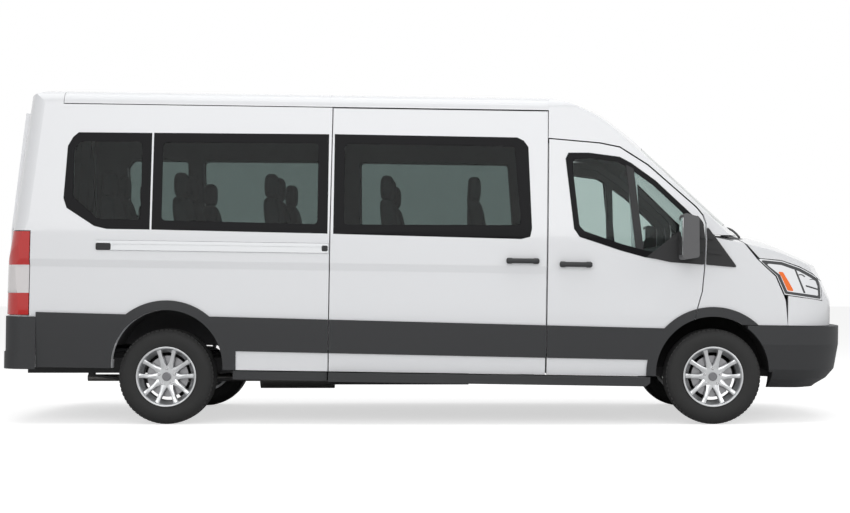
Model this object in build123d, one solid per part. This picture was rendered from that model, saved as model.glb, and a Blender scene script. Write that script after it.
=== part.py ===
"""Long-wheelbase passenger minibus.

Millimetres.  +X is forward, +Y the vehicle's left, +Z up.  The origin is on
the ground, midway between the front and rear bumpers.  The body is drawn
level and then pitched nose-down by RAKE; wheels and axles stay upright.
"""
from build123d import *
from math import *
import os

os.makedirs("parts", exist_ok=True)

# running gear
WHEELBASE = 3750.0
FRONT_AXLE_X = 1975.0
REAR_AXLE_X = FRONT_AXLE_X - WHEELBASE
TYRE_R = 328.0
TYRE_W = 215.0
WHEEL_FACE_Y = 975.0
RIM_R = 207.0
KINGPIN_Y = 734.0

# body, drawn level
RAKE = 0.85
HALF_WIDTH = 1022.0
ROOF_TOP = 2320.0
SILL_Z = 357.0
GUTTER_Z = 2176.0
WALL = 58.0
NOSE_X = 2918.0
NOSE_R = 2500.0
NOSE_CORNER_R = 380.0
HOOD_CROWN_R = 5000.0
SIDE_R = 20000.0
SEAM_B = 820.0
SEAM_SLIDE = -668.0
SEAM_TAIL = -2527.0
TAIL_X = -2952.0
TAIL_R = 6000.0
TAIL_CORNER_R = 120.0
TAIL_LEAN = 0.8
TAIL_LEAN_HIGH = 5.2
WAIST_Z = 1310.0
FLOOR_Z = 560.0
ARCH_FRONT_X = 1965.0
ARCH_REAR_X = -1770.0
ARCH_Z = 378.0
ARCH_FRONT_R = 392.0
ARCH_REAR_R = 382.0
FLARE = 66.0
CLAD = 9.0
DOOR_T = 48.0
FLANGE_FROM = 66.0
FLANGE_TO = 104.0

# centre of the steering wheel (level frame)
STEER_WHEEL = (1475.0, 430.0, 1185.0)

# inset from half width, height, rounding radius
SIDE_PROFILE = [
    (24.0, SILL_Z, 1.0),
    (0.0, 735.0, 1500.0),
    (11.0, 1046.0, 25.0),
    (1.0, 1096.0, 25.0),
    (10.0, WAIST_Z, 900.0),
    (140.0, 2251.0, 95.0),
    (580.0, ROOF_TOP, 5700.0),
]
# x, height of the centre line
ROOF_LINE = [
    (600.0, ROOF_TOP),
    (SEAM_B, ROOF_TOP - 1.0),
    (976.0, 2298.0),
    (1139.0, 2249.0),
    (1222.0, 2209.0),
    (1372.0, 2108.0),
    (1521.0, 1986.0),
    (2148.0, 1426.0),
    (2400.0, 1200.0),
]
BONNET_LINE = [
    (1900.0, 1420.0),
    (2150.0, 1372.0),
    (2316.0, 1336.0),
    (2432.0, 1307.0),
    (2550.0, 1257.0),
    (2656.0, 1207.0),
    (2802.0, 1130.0),
    (NOSE_X, 1065.0),
]


# ---------------------------------------------------------------- helpers
def curve_height(table, x):
    """Smooth curve through a table of (x, height)."""
    last = len(table) - 1
    i = max(0, min(last - 1, sum(1 for p in table if p[0] <= x) - 1))

    def slope(j):
        a, b = table[max(j - 1, 0)], table[min(j + 1, last)]
        return (b[1] - a[1]) / (b[0] - a[0])

    (x0, z0), (x1, z1) = table[i], table[i + 1]
    h = x1 - x0
    u = (x - x0) / h
    if u < 0:
        return z0 + slope(i) * (x - x0)
    if u > 1:
        return z1 + slope(i + 1) * (x - x1)
    rise = (3 - 2 * u) * u * u
    ease_in = u * (1 - u) ** 2 * h * slope(i)
    ease_out = u * u * (u - 1) * h * slope(i + 1)
    return z0 + (z1 - z0) * rise + ease_in + ease_out


def steps(first, last, count):
    return [first + (last - first) * i / (count - 1) for i in range(count)]


def prism(points, y_from, y_to, radius=0.0):
    """Side-view outline (x, z) carried across from y_from to y_to."""
    if radius:
        rim = FilletPolyline(*points, radius=radius, close=True)
    else:
        rim = Polyline(*points, close=True)
    face = Plane.XZ * make_face(rim)
    return Pos(0, y_from, 0) * extrude(face, y_to - y_from, dir=(0, 1, 0))


def block(x0, x1, y0, y1, z0, z1):
    return Pos((x0 + x1) / 2, (y0 + y1) / 2, (z0 + z1) / 2) * Box(x1 - x0, y1 - y0, z1 - z0)


def disc_y(x, z, radius, y_from, y_to):
    return Pos(x, (y_from + y_to) / 2, z) * Rot(90, 0, 0) * Cylinder(radius, y_to - y_from)


def flip(shape):
    return mirror(shape, about=Plane.XZ)


def both(shape):
    return Compound(children=shape.solids() + flip(shape).solids())


def gather(*shapes):
    return Compound(children=[s for shape in shapes for s in shape.solids()])


def save(node, shape, raked=True):
    placed = shape.rotate(Axis.Y, RAKE) if raked else shape
    solids = [s if s.is_valid else s.fix() for s in placed.solids()]
    export_step(Compound(children=solids), f"parts/{node}.step")
    box = placed.bounding_box()
    print(node, len(placed.solids()), f"{placed.volume / 1e9:.4f}", box.min, box.max)


# ---------------------------------------------------------------- body volumes
def section(inset=0.0):
    """Cross-section of the body, looking along X, drawn smaller by inset."""
    wall = [(HALF_WIDTH - d - inset, z, r) for d, z, r in SIDE_PROFILE[1:5]]
    foot_w = HALF_WIDTH - SIDE_PROFILE[0][0] - inset
    (d4, z4, _), (d5, z5, shoulder_r), (d6, z6, _) = SIDE_PROFILE[4:7]
    lean = (d5 - d4) / (z5 - z4)
    rise = (z6 - z5) / (d6 - d5)
    # roof line and side line, both moved in, meet at the shoulder
    z = (z5 - inset + rise * (inset - lean * z5)) / (1 - rise * lean)
    w = HALF_WIDTH - d5 - inset - lean * (z - z5)
    z = z5 - inset + rise * (HALF_WIDTH - d5 - w)
    right = [(foot_w, SILL_Z + inset, 1.0)] + wall
    crown = min(5500.0, (w - HALF_WIDTH + d6 - 85 + 0.6 * inset) / tan(atan(rise) / 2))
    right += [(w, z, max(shoulder_r - inset, 20.0)), (HALF_WIDTH - d6, z6 - inset, crown)]
    loop = right + [(-w, z, r) for w, z, r in reversed(right)]
    rim = FilletPolyline(*[(w, z) for w, z, r in loop], radius=[r for w, z, r in loop], close=True)
    return make_face(rim)


def nose_plan(nose_x, corner_r=NOSE_CORNER_R, front_r=NOSE_R):
    """Centres, radii and turning angles of the side, corner and front arcs."""
    side = (SEAM_B, HALF_WIDTH - SIDE_R)
    front = (nose_x - front_r, 0.0)
    r1 = SIDE_R - corner_r
    r2 = front_r - corner_r
    dx, dy = front[0] - side[0], front[1] - side[1]
    d = hypot(dx, dy)
    a = (r1 * r1 - r2 * r2 + d * d) / (2 * d)
    h = sqrt(r1 * r1 - a * a)
    mx, my = side[0] + a * dx / d, side[1] + a * dy / d
    corner = max((mx + h * dy / d, my - h * dx / d), (mx - h * dy / d, my + h * dx / d))
    turn_1 = degrees(atan2(corner[0] - side[0], corner[1] - side[1]))
    turn_2 = degrees(atan2(corner[0] - front[0], corner[1] - front[1]))
    return [(side, SIDE_R, 0.0, turn_1), (corner, corner_r, turn_1, turn_2), (front, front_r, turn_2, 94.0)]


def on_arc(centre, radius, angle):
    return (centre[0] + radius * sin(radians(angle)), centre[1] + radius * cos(radians(angle)))


def around(plan, profile):
    """Carry a closed (half width, height) profile round the nose plan, both sides."""
    arcs = []
    for centre, radius, first, last in plan:
        ends = [on_arc(centre, radius, a) for a in (first, (first + last) / 2, last)]
        arcs.append(ThreePointArc(*ends))
    path = Wire([arc.edge() for arc in arcs])
    face = Pos(SEAM_B, 0, 0) * (Plane.YZ * profile)
    half = sweep(face, path) & block(0, 4000, 0, 3000, -100, 3000)
    return half, flip(half)


def core_solid(plan, depth, z_low, z_high):
    rim = []
    for centre, radius, first, last in plan:
        rim += [on_arc(centre, radius - depth, first + (min(last, 90) - first) * i / 6) for i in range(7)]
    rim = [(SEAM_B, 0)] + [p for i, p in enumerate(rim) if i == 0 or dist(p, rim[i - 1]) > 1]
    core = Pos(0, 0, z_low) * extrude(make_face(Polyline(*rim, close=True)), z_high - z_low)
    return core + flip(core)


def side_strip(inset, z_low, depth=330.0):
    """Side wall outline up to the roof shoulder, from the section table."""
    (d0, z0, _), (d1, z1, _) = SIDE_PROFILE[0], SIDE_PROFILE[1]
    (d2, z2, _), (d3, z3, shoulder_r) = SIDE_PROFILE[4], SIDE_PROFILE[5]
    low = d0 + (d1 - d0) * (z_low - z0) / (z1 - z0)
    outer = [(HALF_WIDTH - d - inset, z) for d, z in ((low, z_low), (d1, z1), (d2, z2), (d3, z3))]
    inner = HALF_WIDTH - depth
    top = z3 + (outer[3][0] - inner) * tan(radians(16))
    rim = FilletPolyline(*outer, (inner, top), radius=[1500, 900, shoulder_r - min(inset, 60)])
    close = Polyline((inner, top), (inner, z_low), outer[0])
    return make_face(rim.edges() + close.edges())


def cab_tub(inset=0.0):
    plan = nose_plan(NOSE_X)
    z_low = SILL_Z + inset
    right, left = around(plan, side_strip(inset, z_low))
    return core_solid(plan, 200, z_low, ROOF_TOP + 5) + right + left


def height_solid(grid, height, depth, inset=0.0):
    """Solid below a height surface given over rows of plan points."""
    def lowered(x, y):
        z = height(x, y)
        if not inset:
            return z
        dx = (height(x + 5, y) - height(x - 5, y)) / 10
        dy = (height(x, y + 5) - height(x, y - 5)) / 10
        return z - inset * min(sqrt(1 + dx * dx + dy * dy), 2.0)
    points = [[Vector(x, y, lowered(x, y)) for x, y in row] for row in grid]
    face = Face.make_surface_from_array_of_points(points, tol=0.3, min_deg=3, max_deg=5)
    return extrude(face, depth, dir=(0, 0, -1))


def cab_top(x, y):
    mix = min(max((x - SEAM_B) / 700, 0), 1)
    mix = mix * mix * (3 - 2 * mix)
    bow = (1 - mix) / 5870 + mix * 0.92 / 2600
    return curve_height(ROOF_LINE, x) - bow * y * y / 2


def cab_roof(inset=0.0):
    grid = [[(x, y) for y in steps(-1100, 1100, 31)] for x in steps(SEAM_B, 2500, 43)]
    return height_solid(grid, cab_top, 2600, inset)


def hood(inset=0.0):
    """Crowned bonnet volume, cut by the rounded nose cap."""
    points = [(1700, 400), (1700, BONNET_LINE[0][1] + 40), (2150, BONNET_LINE[1][1]), (2400, 1318)]
    points += [(2656, BONNET_LINE[5][1]), (NOSE_X + 80, 1020), (NOSE_X + 80, 400)]
    face = make_face(FilletPolyline(*points, radius=[1, 1, 1400, 1200, 1500, 1, 1], close=True))
    face = Plane.XZ * (offset(face, -inset) if inset else face)
    axis = Axis((0, 0, BONNET_LINE[1][1] - HOOD_CROWN_R), (1, 0, 0))
    crowned = revolve(face.rotate(axis, -17), axis, 34)
    cap = [(0, 300), (NOSE_R, 300), (NOSE_R, 735), (NOSE_R - 2, 886), (NOSE_R - 51, 1000)]
    cap += [(NOSE_R - 116, 1130), (NOSE_R - 400, 1500), (0, 1500)]
    cap = [(max(r - inset, 0), z) for r, z in cap]
    rim = FilletPolyline(*cap, radius=[1, 1, 300, 90, 200, 300, 1, 1], close=True)
    cap = Pos(NOSE_X - NOSE_R, 0, 0) * revolve(Plane.XZ * make_face(rim), Axis.Z, 360)
    return crowned & cap


def middle_volume(inset=0.0):
    return Pos(SEAM_TAIL, 0, 0) * extrude(Plane.YZ * section(inset), SEAM_B - SEAM_TAIL)


def tail_back(inset, low_z, lean):
    """x of the middle of the rear face at low_z, for the stretch that leans by this angle."""
    at_waist = TAIL_X + (WAIST_Z - 791) * tan(radians(TAIL_LEAN))
    return at_waist + inset + (low_z - WAIST_Z) * tan(radians(lean))


def tail_face(inset=0.0):
    """Everything ahead of the bowed rear face, steep up to the waist and leaning above it."""
    half = HALF_WIDTH + 60
    solid = None
    for lean in (TAIL_LEAN, TAIL_LEAN_HIGH):
        back = tail_back(inset, 191, lean)
        edge = sqrt(TAIL_R ** 2 - half ** 2) - TAIL_R
        arc = ThreePointArc((back - edge, half), (back, 0), (back - edge, -half))
        loop = Polyline((back - edge, half), (-2000, half), (-2000, -half), (back - edge, -half))
        outline = make_face(arc.edges() + loop.edges())
        part = Pos(0, 0, 191) * extrude(outline, 2400, dir=(tan(radians(lean)), 0, 1))
        solid = part if solid is None else solid & part
    return solid


def tail_corner(inset, half, tuck, lean):
    """Everything inside one rounded rear corner whose side wall leans in by tuck."""
    y_touch = half - 110
    back = tail_back(inset, 191, lean)
    x_touch = back + y_touch ** 2 / (2 * TAIL_R)
    slope = y_touch / TAIL_R
    rim = FilletPolyline(
        (-2000, half), (x_touch + 110 * slope, half), (x_touch - (y_touch + half + 400) * slope, -half - 400),
        (-2000, -half - 400), radius=[1, max(TAIL_CORNER_R - inset, 20), 1, 1], close=True,
    )
    return Pos(0, 0, 191) * extrude(make_face(rim), 2400, dir=(tan(radians(lean)), -tuck, 1))


def tail_outline(inset=0.0):
    """Rear face with both rounded corners, following the side walls."""
    tuck = (SIDE_PROFILE[5][0] - SIDE_PROFILE[4][0]) / (SIDE_PROFILE[5][1] - SIDE_PROFILE[4][1])
    low = tail_corner(inset, HALF_WIDTH - inset, 0, TAIL_LEAN)
    half = HALF_WIDTH - SIDE_PROFILE[4][0] - inset + tuck * (WAIST_Z - 191)
    high = tail_corner(inset, half, tuck, TAIL_LEAN_HIGH)
    return tail_face(inset) & low & flip(low) & high & flip(high)


def tail_volume(inset=0.0):
    """Rear end: section tube, leaning bowed face, rounded rear edge of the roof."""
    tube = Pos(-3100, 0, 0) * extrude(Plane.YZ * section(inset), SEAM_TAIL + 3100)
    low = SILL_Z - 90
    top = ROOF_TOP + 2
    points = [(-2400, low), (-2400, top), (TAIL_X + 120, top), (TAIL_X - 60, 1300), (TAIL_X - 60, low)]
    rim = FilletPolyline(*points, radius=[1, 1, 240, 1, 1], close=True)
    face = Pos(inset, 0, -inset) * (Plane.XZ * make_face(rim))
    axis = Axis((0, 0, ROOF_TOP - 5870), (1, 0, 0))
    return tube & tail_outline(inset) & revolve(face.rotate(axis, -17), axis, 34)


# ---------------------------------------------------------------- volumes used below
middle_out = middle_volume()
middle_in = middle_volume(WALL)
tail_out = tail_volume()
tail_in = tail_volume(WALL)
tub_out = cab_tub()
tub_in = cab_tub(WALL)
roof_out = cab_roof()
hood_out = hood()
SIDES = block(-3100, 3100, -1100, -815, 900, 2400) + block(-3100, 3100, -1100, -890, 0, 900)

# side-view outlines (x, z)
FRONT_DOOR = [
    (825, SILL_Z), (825, 1974), (1172, 1948), (1309, 1922), (1502, 1801), (1835, 1516),
    (1879, 1462), (1900, 1407), (1896, 1267), (1893, 1103), (1879, 940), (1849, 830),
    (1826, 736), (1826, SILL_Z),
]
FRONT_DOOR_HOLE = [
    (SEAM_B - 1, SILL_Z - 40), (SEAM_B - 1, 1983), (1174, 1957), (1313, 1931), (1508, 1810),
    (1842, 1522), (1888, 1466), (1908, 1409), (1904, 1267), (1901, 1103), (1887, 938),
    (1857, 828), (1834, 736), (1834, SILL_Z - 40),
]
FRONT_DOOR_INNER = [
    (870, 600), (870, 1935), (1165, 1910), (1295, 1884), (1480, 1768), (1800, 1494),
    (1845, 1440), (1862, 1380), (1856, 1103), (1842, 960), (1790, 850), (1540, 700), (1500, 600),
]
# outer edge of the door flange, and how far it reaches in from the side
CAB_FLANGE = [
    (SEAM_B, 500), (SEAM_B, 1970), (1190, 1950), (1320, 1920), (1530, 1800), (1860, 1500), (1900, 1450), (1900, 500),
]
CAB_FLANGE_DEPTH = [(-1100, 450), (-1100, 1950), (-822, 1950), (-906, WAIST_Z), (-912, 450)]
FRONT_WINDOW = [
    (937, 1839), (956, 1882), (1097, 1884), (1310, 1859), (1392, 1816), (1558, 1698),
    (1768, 1505), (1838, 1440), (1838, 1140), (1668, 1144), (1483, 1168), (1314, 1212),
    (1177, 1256), (1037, 1300), (998, 1356),
]
FRONT_OPENING = [
    (975, 1800), (985, 1850), (1097, 1856), (1300, 1832), (1376, 1790), (1540, 1674),
    (1742, 1490), (1795, 1430), (1795, 1180), (1672, 1180), (1490, 1204), (1326, 1246),
    (1190, 1290), (1066, 1332), (1030, 1372),
]
SLIDE_DOOR = [(SEAM_SLIDE + 4, SILL_Z), (SEAM_SLIDE + 4, 2166), (814, 2166), (814, SILL_Z)]
SLIDE_HOLE = [(SEAM_SLIDE - 4, SILL_Z - 40), (SEAM_SLIDE - 4, 2174), (SEAM_B + 1, 2174), (SEAM_B + 1, SILL_Z - 40)]
SLIDE_INNER = [(-620, 600), (-620, 2120), (770, 2120), (770, 600)]
QUARTER_GLASS = [
    (-2484, 1876), (-2450, 1940), (-2413, 1973), (-1907, 1976), (-1899, 1307), (-2193, 1307),
    (-2279, 1326), (-2473, 1448), (-2497, 1514),
]
QUARTER_HOLE = [(-2447, 1860), (-2400, 1920), (-1962, 1922), (-1955, 1362), (-2262, 1368), (-2440, 1520)]
MIDDLE_GLASS = [(-1895, 1977), (-690, 1985), (-684, 1297), (-1887, 1307)]
MIDDLE_HOLE = [(-1838, 1922), (-752, 1930), (-746, 1352), (-1830, 1362)]
SLIDE_GLASS = [(-652, 1986), (604, 1982), (650, 1960), (682, 1916), (712, 1352), (700, 1296), (640, 1280), (-646, 1296)]
SLIDE_WINDOW_HOLE = [(-590, 1930), (596, 1930), (648, 1366), (-584, 1352)]
WING = [
    (1908, 1326), (2092, 1326), (2092, 1306), (2142, 1301), (2160, 1285), (2264, 1163), (2388, 1051), (2446, 925),
    (2462, 884), (2478, 716), (1838, 716), (1857, 830), (1887, 940), (1901, 1103), (1904, 1267),
]
HEADLAMP = [
    (2272, 1165), (2280, 1171), (2430, 1157), (2562, 1114), (2650, 1072), (2700, 1045),
    (2722, 1000), (2734, 894), (2455, 928), (2396, 1057),
]
# front panel between the lamp and the bonnet edge
NOSE_SIDE = [(2700, 960), (2700, 1040), (2722, 1036), (3000, 969), (3000, 960)]
HOOD_LINE = [
    (2100, 1700), (2100, 1312), (2145, 1308), (2168, 1291), (2276, 1176), (2430, 1164),
    (2562, 1121), (2650, 1079), (2722, 1042), (3000, 975), (3000, 1700),
]


def rear_view(points, x0, x1, radius=1.0):
    """Outline in (y, z) carried along x."""
    rim = FilletPolyline(*points, radius=radius, close=True)
    return Pos(x0, 0, 0) * extrude(Plane.YZ * make_face(rim), x1 - x0, dir=(1, 0, 0))


def arches(extra=0.0, y_in=560.0):
    cuts = disc_y(ARCH_FRONT_X, ARCH_Z, ARCH_FRONT_R + extra, -1300, -y_in)
    return cuts + disc_y(ARCH_REAR_X, ARCH_Z, ARCH_REAR_R + extra, -1300, -y_in)


ARCHES = arches()
# room inside the front arches for the liners round the steered wheels
LINER_ROOM = disc_y(ARCH_FRONT_X, ARCH_Z, ARCH_FRONT_R + 26, -926, -545)
LINER_ROOM = LINER_ROOM + flip(LINER_ROOM)

# ---------------------------------------------------------------- roof, sides, rear frame
roof_panel = (middle_out - middle_in) & block(SEAM_TAIL + 4, SEAM_B, -1100, 1100, GUTTER_Z, 2400)
roof_seam = SEAM_SLIDE - 16
roof_panel -= (middle_out - middle_volume(4.0)) & block(roof_seam - 4, roof_seam + 4, -1100, 1100, 2000, 2400)
save("roof_panel", roof_panel)

wall = (middle_out - middle_in) & SIDES & block(SEAM_TAIL, SEAM_B, -1100, 0, SILL_Z, GUTTER_Z - 6)
wall -= ARCHES
layer = middle_out - middle_volume(8.0)
for pane, opening in ((QUARTER_GLASS, QUARTER_HOLE), (MIDDLE_GLASS, MIDDLE_HOLE)):
    wall -= layer & prism(pane, -1100, -600)
    wall -= prism(opening, -1100, -600, 25)
side = wall - prism(SLIDE_HOLE, -1100, -600)
side -= layer & block(-2262, SEAM_SLIDE + 10, -1100, -900, 1162, 1232)
flange = (middle_volume(FLANGE_FROM) - middle_volume(FLANGE_TO)) & SIDES
flange &= block(SEAM_SLIDE - 50, SEAM_B, -1100, 0, 500, 2200) - prism(SLIDE_INNER, -1100, -600, 60)
save("side_panel_right", gather(side, flange))
closed = wall - (layer & prism(SLIDE_GLASS, -1100, -600))
closed -= prism(SLIDE_WINDOW_HOLE, -1100, -600, 25)
save("side_panel_left", flip(closed))

panes = middle_volume(2.0) - middle_volume(7.0)
glass_right = [panes & prism(p, -1100, -600) for p in (QUARTER_GLASS, MIDDLE_GLASS)]
slide_glass = panes & prism(SLIDE_GLASS, -1100, -600)
save("side_windows", gather(both(gather(*glass_right)), flip(slide_glass)))

slide = (middle_out - middle_volume(DOOR_T)) & SIDES & prism(SLIDE_DOOR, -1100, -600)
slide -= layer & prism(SLIDE_GLASS, -1100, -600)
slide -= prism(SLIDE_WINDOW_HOLE, -1100, -600, 25)
save("sliding_door", slide)
save("sliding_door_glass", slide_glass)

tail_shell = tail_out - tail_in
DOOR_HALF = [(-6, 592), (-6, 2118), (-735, 2118), (-848, WAIST_Z), (-848, 592)]
DOOR_HALF_HOLE = [(1, 552), (1, 2126), (-744, 2126), (-857, WAIST_Z), (-857, 552)]
DOOR_HALF_INNER = [(1, 640), (1, 2080), (-700, 2080), (-808, WAIST_Z), (-808, 640)]
rear_hole = rear_view(DOOR_HALF_HOLE, -3100, -2730)
rear_hole = rear_hole + flip(rear_hole)
rear_inner = rear_view(DOOR_HALF_INNER, -3100, -2500)
rear_inner = rear_inner + flip(rear_inner)
lamp_zone = [(-845, 708), (-845, 1290), (-1100, 1290), (-1100, 708)]
lamp_cut = rear_view(lamp_zone, -3100, -2710)
frame = tail_shell & block(-3100, SEAM_TAIL, -1100, 1100, SILL_Z, 2400)
frame -= rear_hole
frame -= block(-2880, SEAM_TAIL + 5, -890, 890, SILL_Z - 10, 560)
frame -= (tail_out - tail_volume(40.0)) & (lamp_cut + flip(lamp_cut))
rear_flange = (tail_in - tail_volume(WALL + 42)) & block(-3100, -2700, -1100, 1100, 470, 2200)
rear_flange -= rear_inner
save("rear_frame", gather(frame, rear_flange))

lamp = (tail_volume(-4.0) - tail_volume(38.0)) & rear_view([(-862, 714), (-862, 1284), (-1100, 1284), (-1100, 714)], -3100, -2716)
save("tail_lamps", both(lamp))

tail_shape = tail_face()
door = (tail_shape - tail_face(DOOR_T)) & rear_view(DOOR_HALF, -3100, -2600, 20)
RW = [(-70, 1390), (-70, 1960), (-640, 1960), (-735, 1390)]
RW_HOLE = [(-110, 1430), (-110, 1920), (-606, 1920), (-694, 1430)]
RW_CORNER = 42
door -= (tail_shape - tail_face(8.0)) & rear_view(RW, -3100, -2600, RW_CORNER)
door -= rear_view(RW_HOLE, -3100, -2500, RW_CORNER)
pane = (tail_face(2.0) - tail_face(7.0)) & rear_view(RW, -3100, -2600, RW_CORNER)
save("rear_door_right", door)
save("rear_door_left", flip(door))
save("rear_door_glass_right", pane)
save("rear_door_glass_left", flip(pane))

# ---------------------------------------------------------------- cab
cab_out = tub_out & roof_out
cab_in = tub_in & cab_roof(WALL)
SLOPE = atan2(ROOF_LINE[6][1] - ROOF_LINE[7][1], ROOF_LINE[7][0] - ROOF_LINE[6][0])
screen_plane = Plane(
    origin=(ROOF_LINE[6][0], 0, ROOF_LINE[6][1]),
    x_dir=(cos(SLOPE), 0, -sin(SLOPE)),
    z_dir=(sin(SLOPE), 0, cos(SLOPE)),
)


def screen_prism(top, bottom, half_top, half_bottom, radius):
    rim = FilletPolyline(
        (top + 14, half_top), (top, 0), (top + 14, -half_top), (bottom - 78, -half_bottom),
        (bottom - 22, -half_bottom * 0.5), (bottom, 0), (bottom - 22, half_bottom * 0.5),
        (bottom - 78, half_bottom), radius=[radius, 60, radius, radius, 60, 60, 60, radius], close=True,
    )
    return extrude(screen_plane * make_face(rim), 400, both=True)


shell = (cab_out - cab_in) & block(SEAM_B, 2170, -1100, 1100, SILL_Z, 2400)
shell -= prism([(1908, 0), (1908, 1330), (2300, 1330), (2300, 0)], -1100, 1100)
door_hole = prism(FRONT_DOOR_HOLE, -1100, -600)
shell -= door_hole + flip(door_hole)
shell -= (roof_out - cab_roof(8.0)) & screen_prism(-4, 846, 852, 912, 60)
shell -= screen_prism(40, 800, 806, 862, 60)
shell -= block(1650, 2200, -700, 700, 0, 1500) + block(SEAM_B - 5, 1910, -905, 905, SILL_Z - 10, 600)
shell -= ARCHES + flip(ARCHES) + LINER_ROOM
behind_wing = (tub_out - (cab_tub(26.0) & hood(26.0))) & prism(WING, -1100, -500)
shell -= behind_wing + flip(behind_wing)
flange = cab_tub(FLANGE_FROM) & rear_view(CAB_FLANGE_DEPTH, 700, 2000) & prism(CAB_FLANGE, -1100, 0)
flange -= prism(FRONT_DOOR_INNER, -1100, -600)
flange -= arches(30)
save("cab_frame", gather(shell, both(flange)))
save("windscreen", (cab_roof(1.0) - cab_roof(7.0)) & screen_prism(0, 842, 848, 908, 58))

door = (tub_out - cab_tub(DOOR_T)) & SIDES & prism(FRONT_DOOR, -1100, -600)
door -= ARCHES + LINER_ROOM
tub_8 = cab_tub(8.0)
door -= (tub_out - tub_8) & prism(FRONT_WINDOW, -1100, -600)
bar = prism([(1365, 1900), (1420, 1900), (1460, 1100), (1405, 1100)], -1100, -600)
door -= prism(FRONT_OPENING, -1100, -600) - bar
pane = (cab_tub(2.0) - cab_tub(7.0)) & prism(FRONT_WINDOW, -1100, -600)
save("front_door_right", door)
save("front_door_left", flip(door))
save("front_door_glass_right", pane)
save("front_door_glass_left", flip(pane))

# ---------------------------------------------------------------- nose
nose_out = tub_out & hood_out
nose_in = cab_tub(24.0) & hood(24.0)
nose_shell = nose_out - nose_in
wing = nose_shell & prism(WING, -1100, -500)
wing -= ARCHES + LINER_ROOM
save("front_wings", both(wing))
# room left round the lamp, point by point
LAMP_GAP = [(0, 4), (0, 6), (0, 6), (0, 6), (4, 6), (6, 6), (6, 4), (6, -6), (0, -6), (-6, 0)]
lamp = prism(HEADLAMP, -1100, -500)
lamp_body = (nose_out - (cab_tub(60.0) & hood(60.0))) & lamp & block(2200, 3000, -1100, -470, 800, 1200)
save("headlamps", both(lamp_body))
front_panel = nose_shell & block(2480, 3000, -1100, 1100, 716, 968) + (nose_shell & prism(NOSE_SIDE, -1100, 1100))
lamp_hole = prism([(x + dx, z + dz) for (x, z), (dx, dz) in zip(HEADLAMP, LAMP_GAP)], -1100, -464)
front_panel -= lamp_hole + flip(lamp_hole)
grille_cut = rear_view([(-500, 742), (-544, 944), (544, 944), (500, 742)], 2700, 3100, 20)
front_panel -= grille_cut
save("front_panel", front_panel)
grille = (nose_out - (cab_tub(20.0) & hood(20.0))) & rear_view([(-496, 746), (-540, 940), (540, 940), (496, 746)], 2700, 3100, 20)
for z in (766, 808, 850, 892):
    grille -= block(2700, 3100, -478, 478, z, z + 26)
save("grille", grille)
rear_arc = Pos(2320 - 2150, 0, 0) * Cylinder(2150, 4000)
bonnet = (nose_out - (cab_tub(20.0) & hood(20.0))) & prism(HOOD_LINE, -1100, 1100) - rear_arc
save("bonnet", bonnet)
cowl = (cab_tub(10.0) & hood(10.0)) - (cab_tub(30.0) & hood(30.0))
cowl = cowl & block(1950, 2400, -930, 930, 1200, 1500) & (Pos(2310 - 2150, 0, 0) * Cylinder(2150, 4000))
cowl -= Pos(2170 - 2300, 0, 0) * Cylinder(2300, 4000)
cowl -= prism(WING, -1100, -500) + prism(WING, 500, 1100)
save("cowl_panel", cowl)

bumper_plan = nose_plan(2971.0)
BUMPER = [(0, 712), (0, 611), (0, 584), (28, 412), (82, 347), (150, 305), (176, 285), (230, 278), (200, 712)]
profile = make_face(Polyline(*[(HALF_WIDTH + 8 - d, z) for d, z in BUMPER], close=True))
right, left = around(bumper_plan, profile)
bumper = left & block(2200, 3100, -1200, 0, 200, 800)
bumper -= ARCHES + LINER_ROOM
save("front_bumper", bumper + flip(bumper))


# ---------------------------------------------------------------- rear bumper
def tail_slab(back, half, z_low, z_high, radius, bow=TAIL_R):
    edge = sqrt(bow ** 2 - half ** 2) - bow
    arc = ThreePointArc((back - edge, half), (back, 0), (back - edge, -half))
    loop = Polyline((back - edge, half), (-2600, half), (-2600, -half), (back - edge, -half))
    face = make_face(arc.edges() + loop.edges())
    face = fillet([v for v in face.vertices() if v.X < -2700], radius)
    return Pos(0, 0, z_low) * extrude(face, z_high - z_low)


tier = tail_slab(-2994.6, HALF_WIDTH + 8, 343, 460, 130, 4700) - tail_outline(-2.0)
upper = tail_slab(-2966, HALF_WIDTH + 8, 460, 703, 130) - tail_outline(-2.0)
upper -= block(-3100, -2800, -862, 862, 576, 800)
rear_bumper = (tier + upper) & block(-3100, -2664, -1100, 1100, 300, 800)
save("rear_bumper", rear_bumper)

# ---------------------------------------------------------------- cladding, steps, rail
band = [(-2664, 320), (-2664, 734), (1838, 683), (1838, 466), (-1300, 486), (-1300, 320)]
band = prism(band, -1100, -700) + disc_y(ARCH_FRONT_X, ARCH_Z, ARCH_FRONT_R + FLARE, -1100, -700)
band += disc_y(ARCH_REAR_X, ARCH_Z, ARCH_REAR_R + FLARE, -1100, -700)
band &= block(-2664, 2480, -1100, -700, SILL_Z, 900)
outer_middle = (middle_volume(-CLAD) - middle_out) & block(SEAM_TAIL, SEAM_B, -1100, -800, 300, 900)
outer_tail = (tail_volume(-CLAD) - tail_out) & block(-2664, SEAM_TAIL, -1100, -800, 300, 900)
outer_cab = (cab_tub(-CLAD) - tub_out) & block(SEAM_B, 2480, -1100, -800, 300, 900)
fixed_clad = [outer_tail, outer_middle - prism([(SEAM_SLIDE - 4, 0), (SEAM_SLIDE + 4, 0), (SEAM_SLIDE + 4, 900), (SEAM_SLIDE - 4, 900)], -1100, -800)]
clad = gather(*[(piece & band) - ARCHES for piece in fixed_clad])
door_clad = (outer_cab & band & prism(FRONT_DOOR, -1100, -800)) - ARCHES
wing_clad = (outer_cab & band & block(1838, 2480, -1100, -800, 716, 900)) - ARCHES - door_hole
save("side_cladding", both(gather(clad, wing_clad)))
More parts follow.
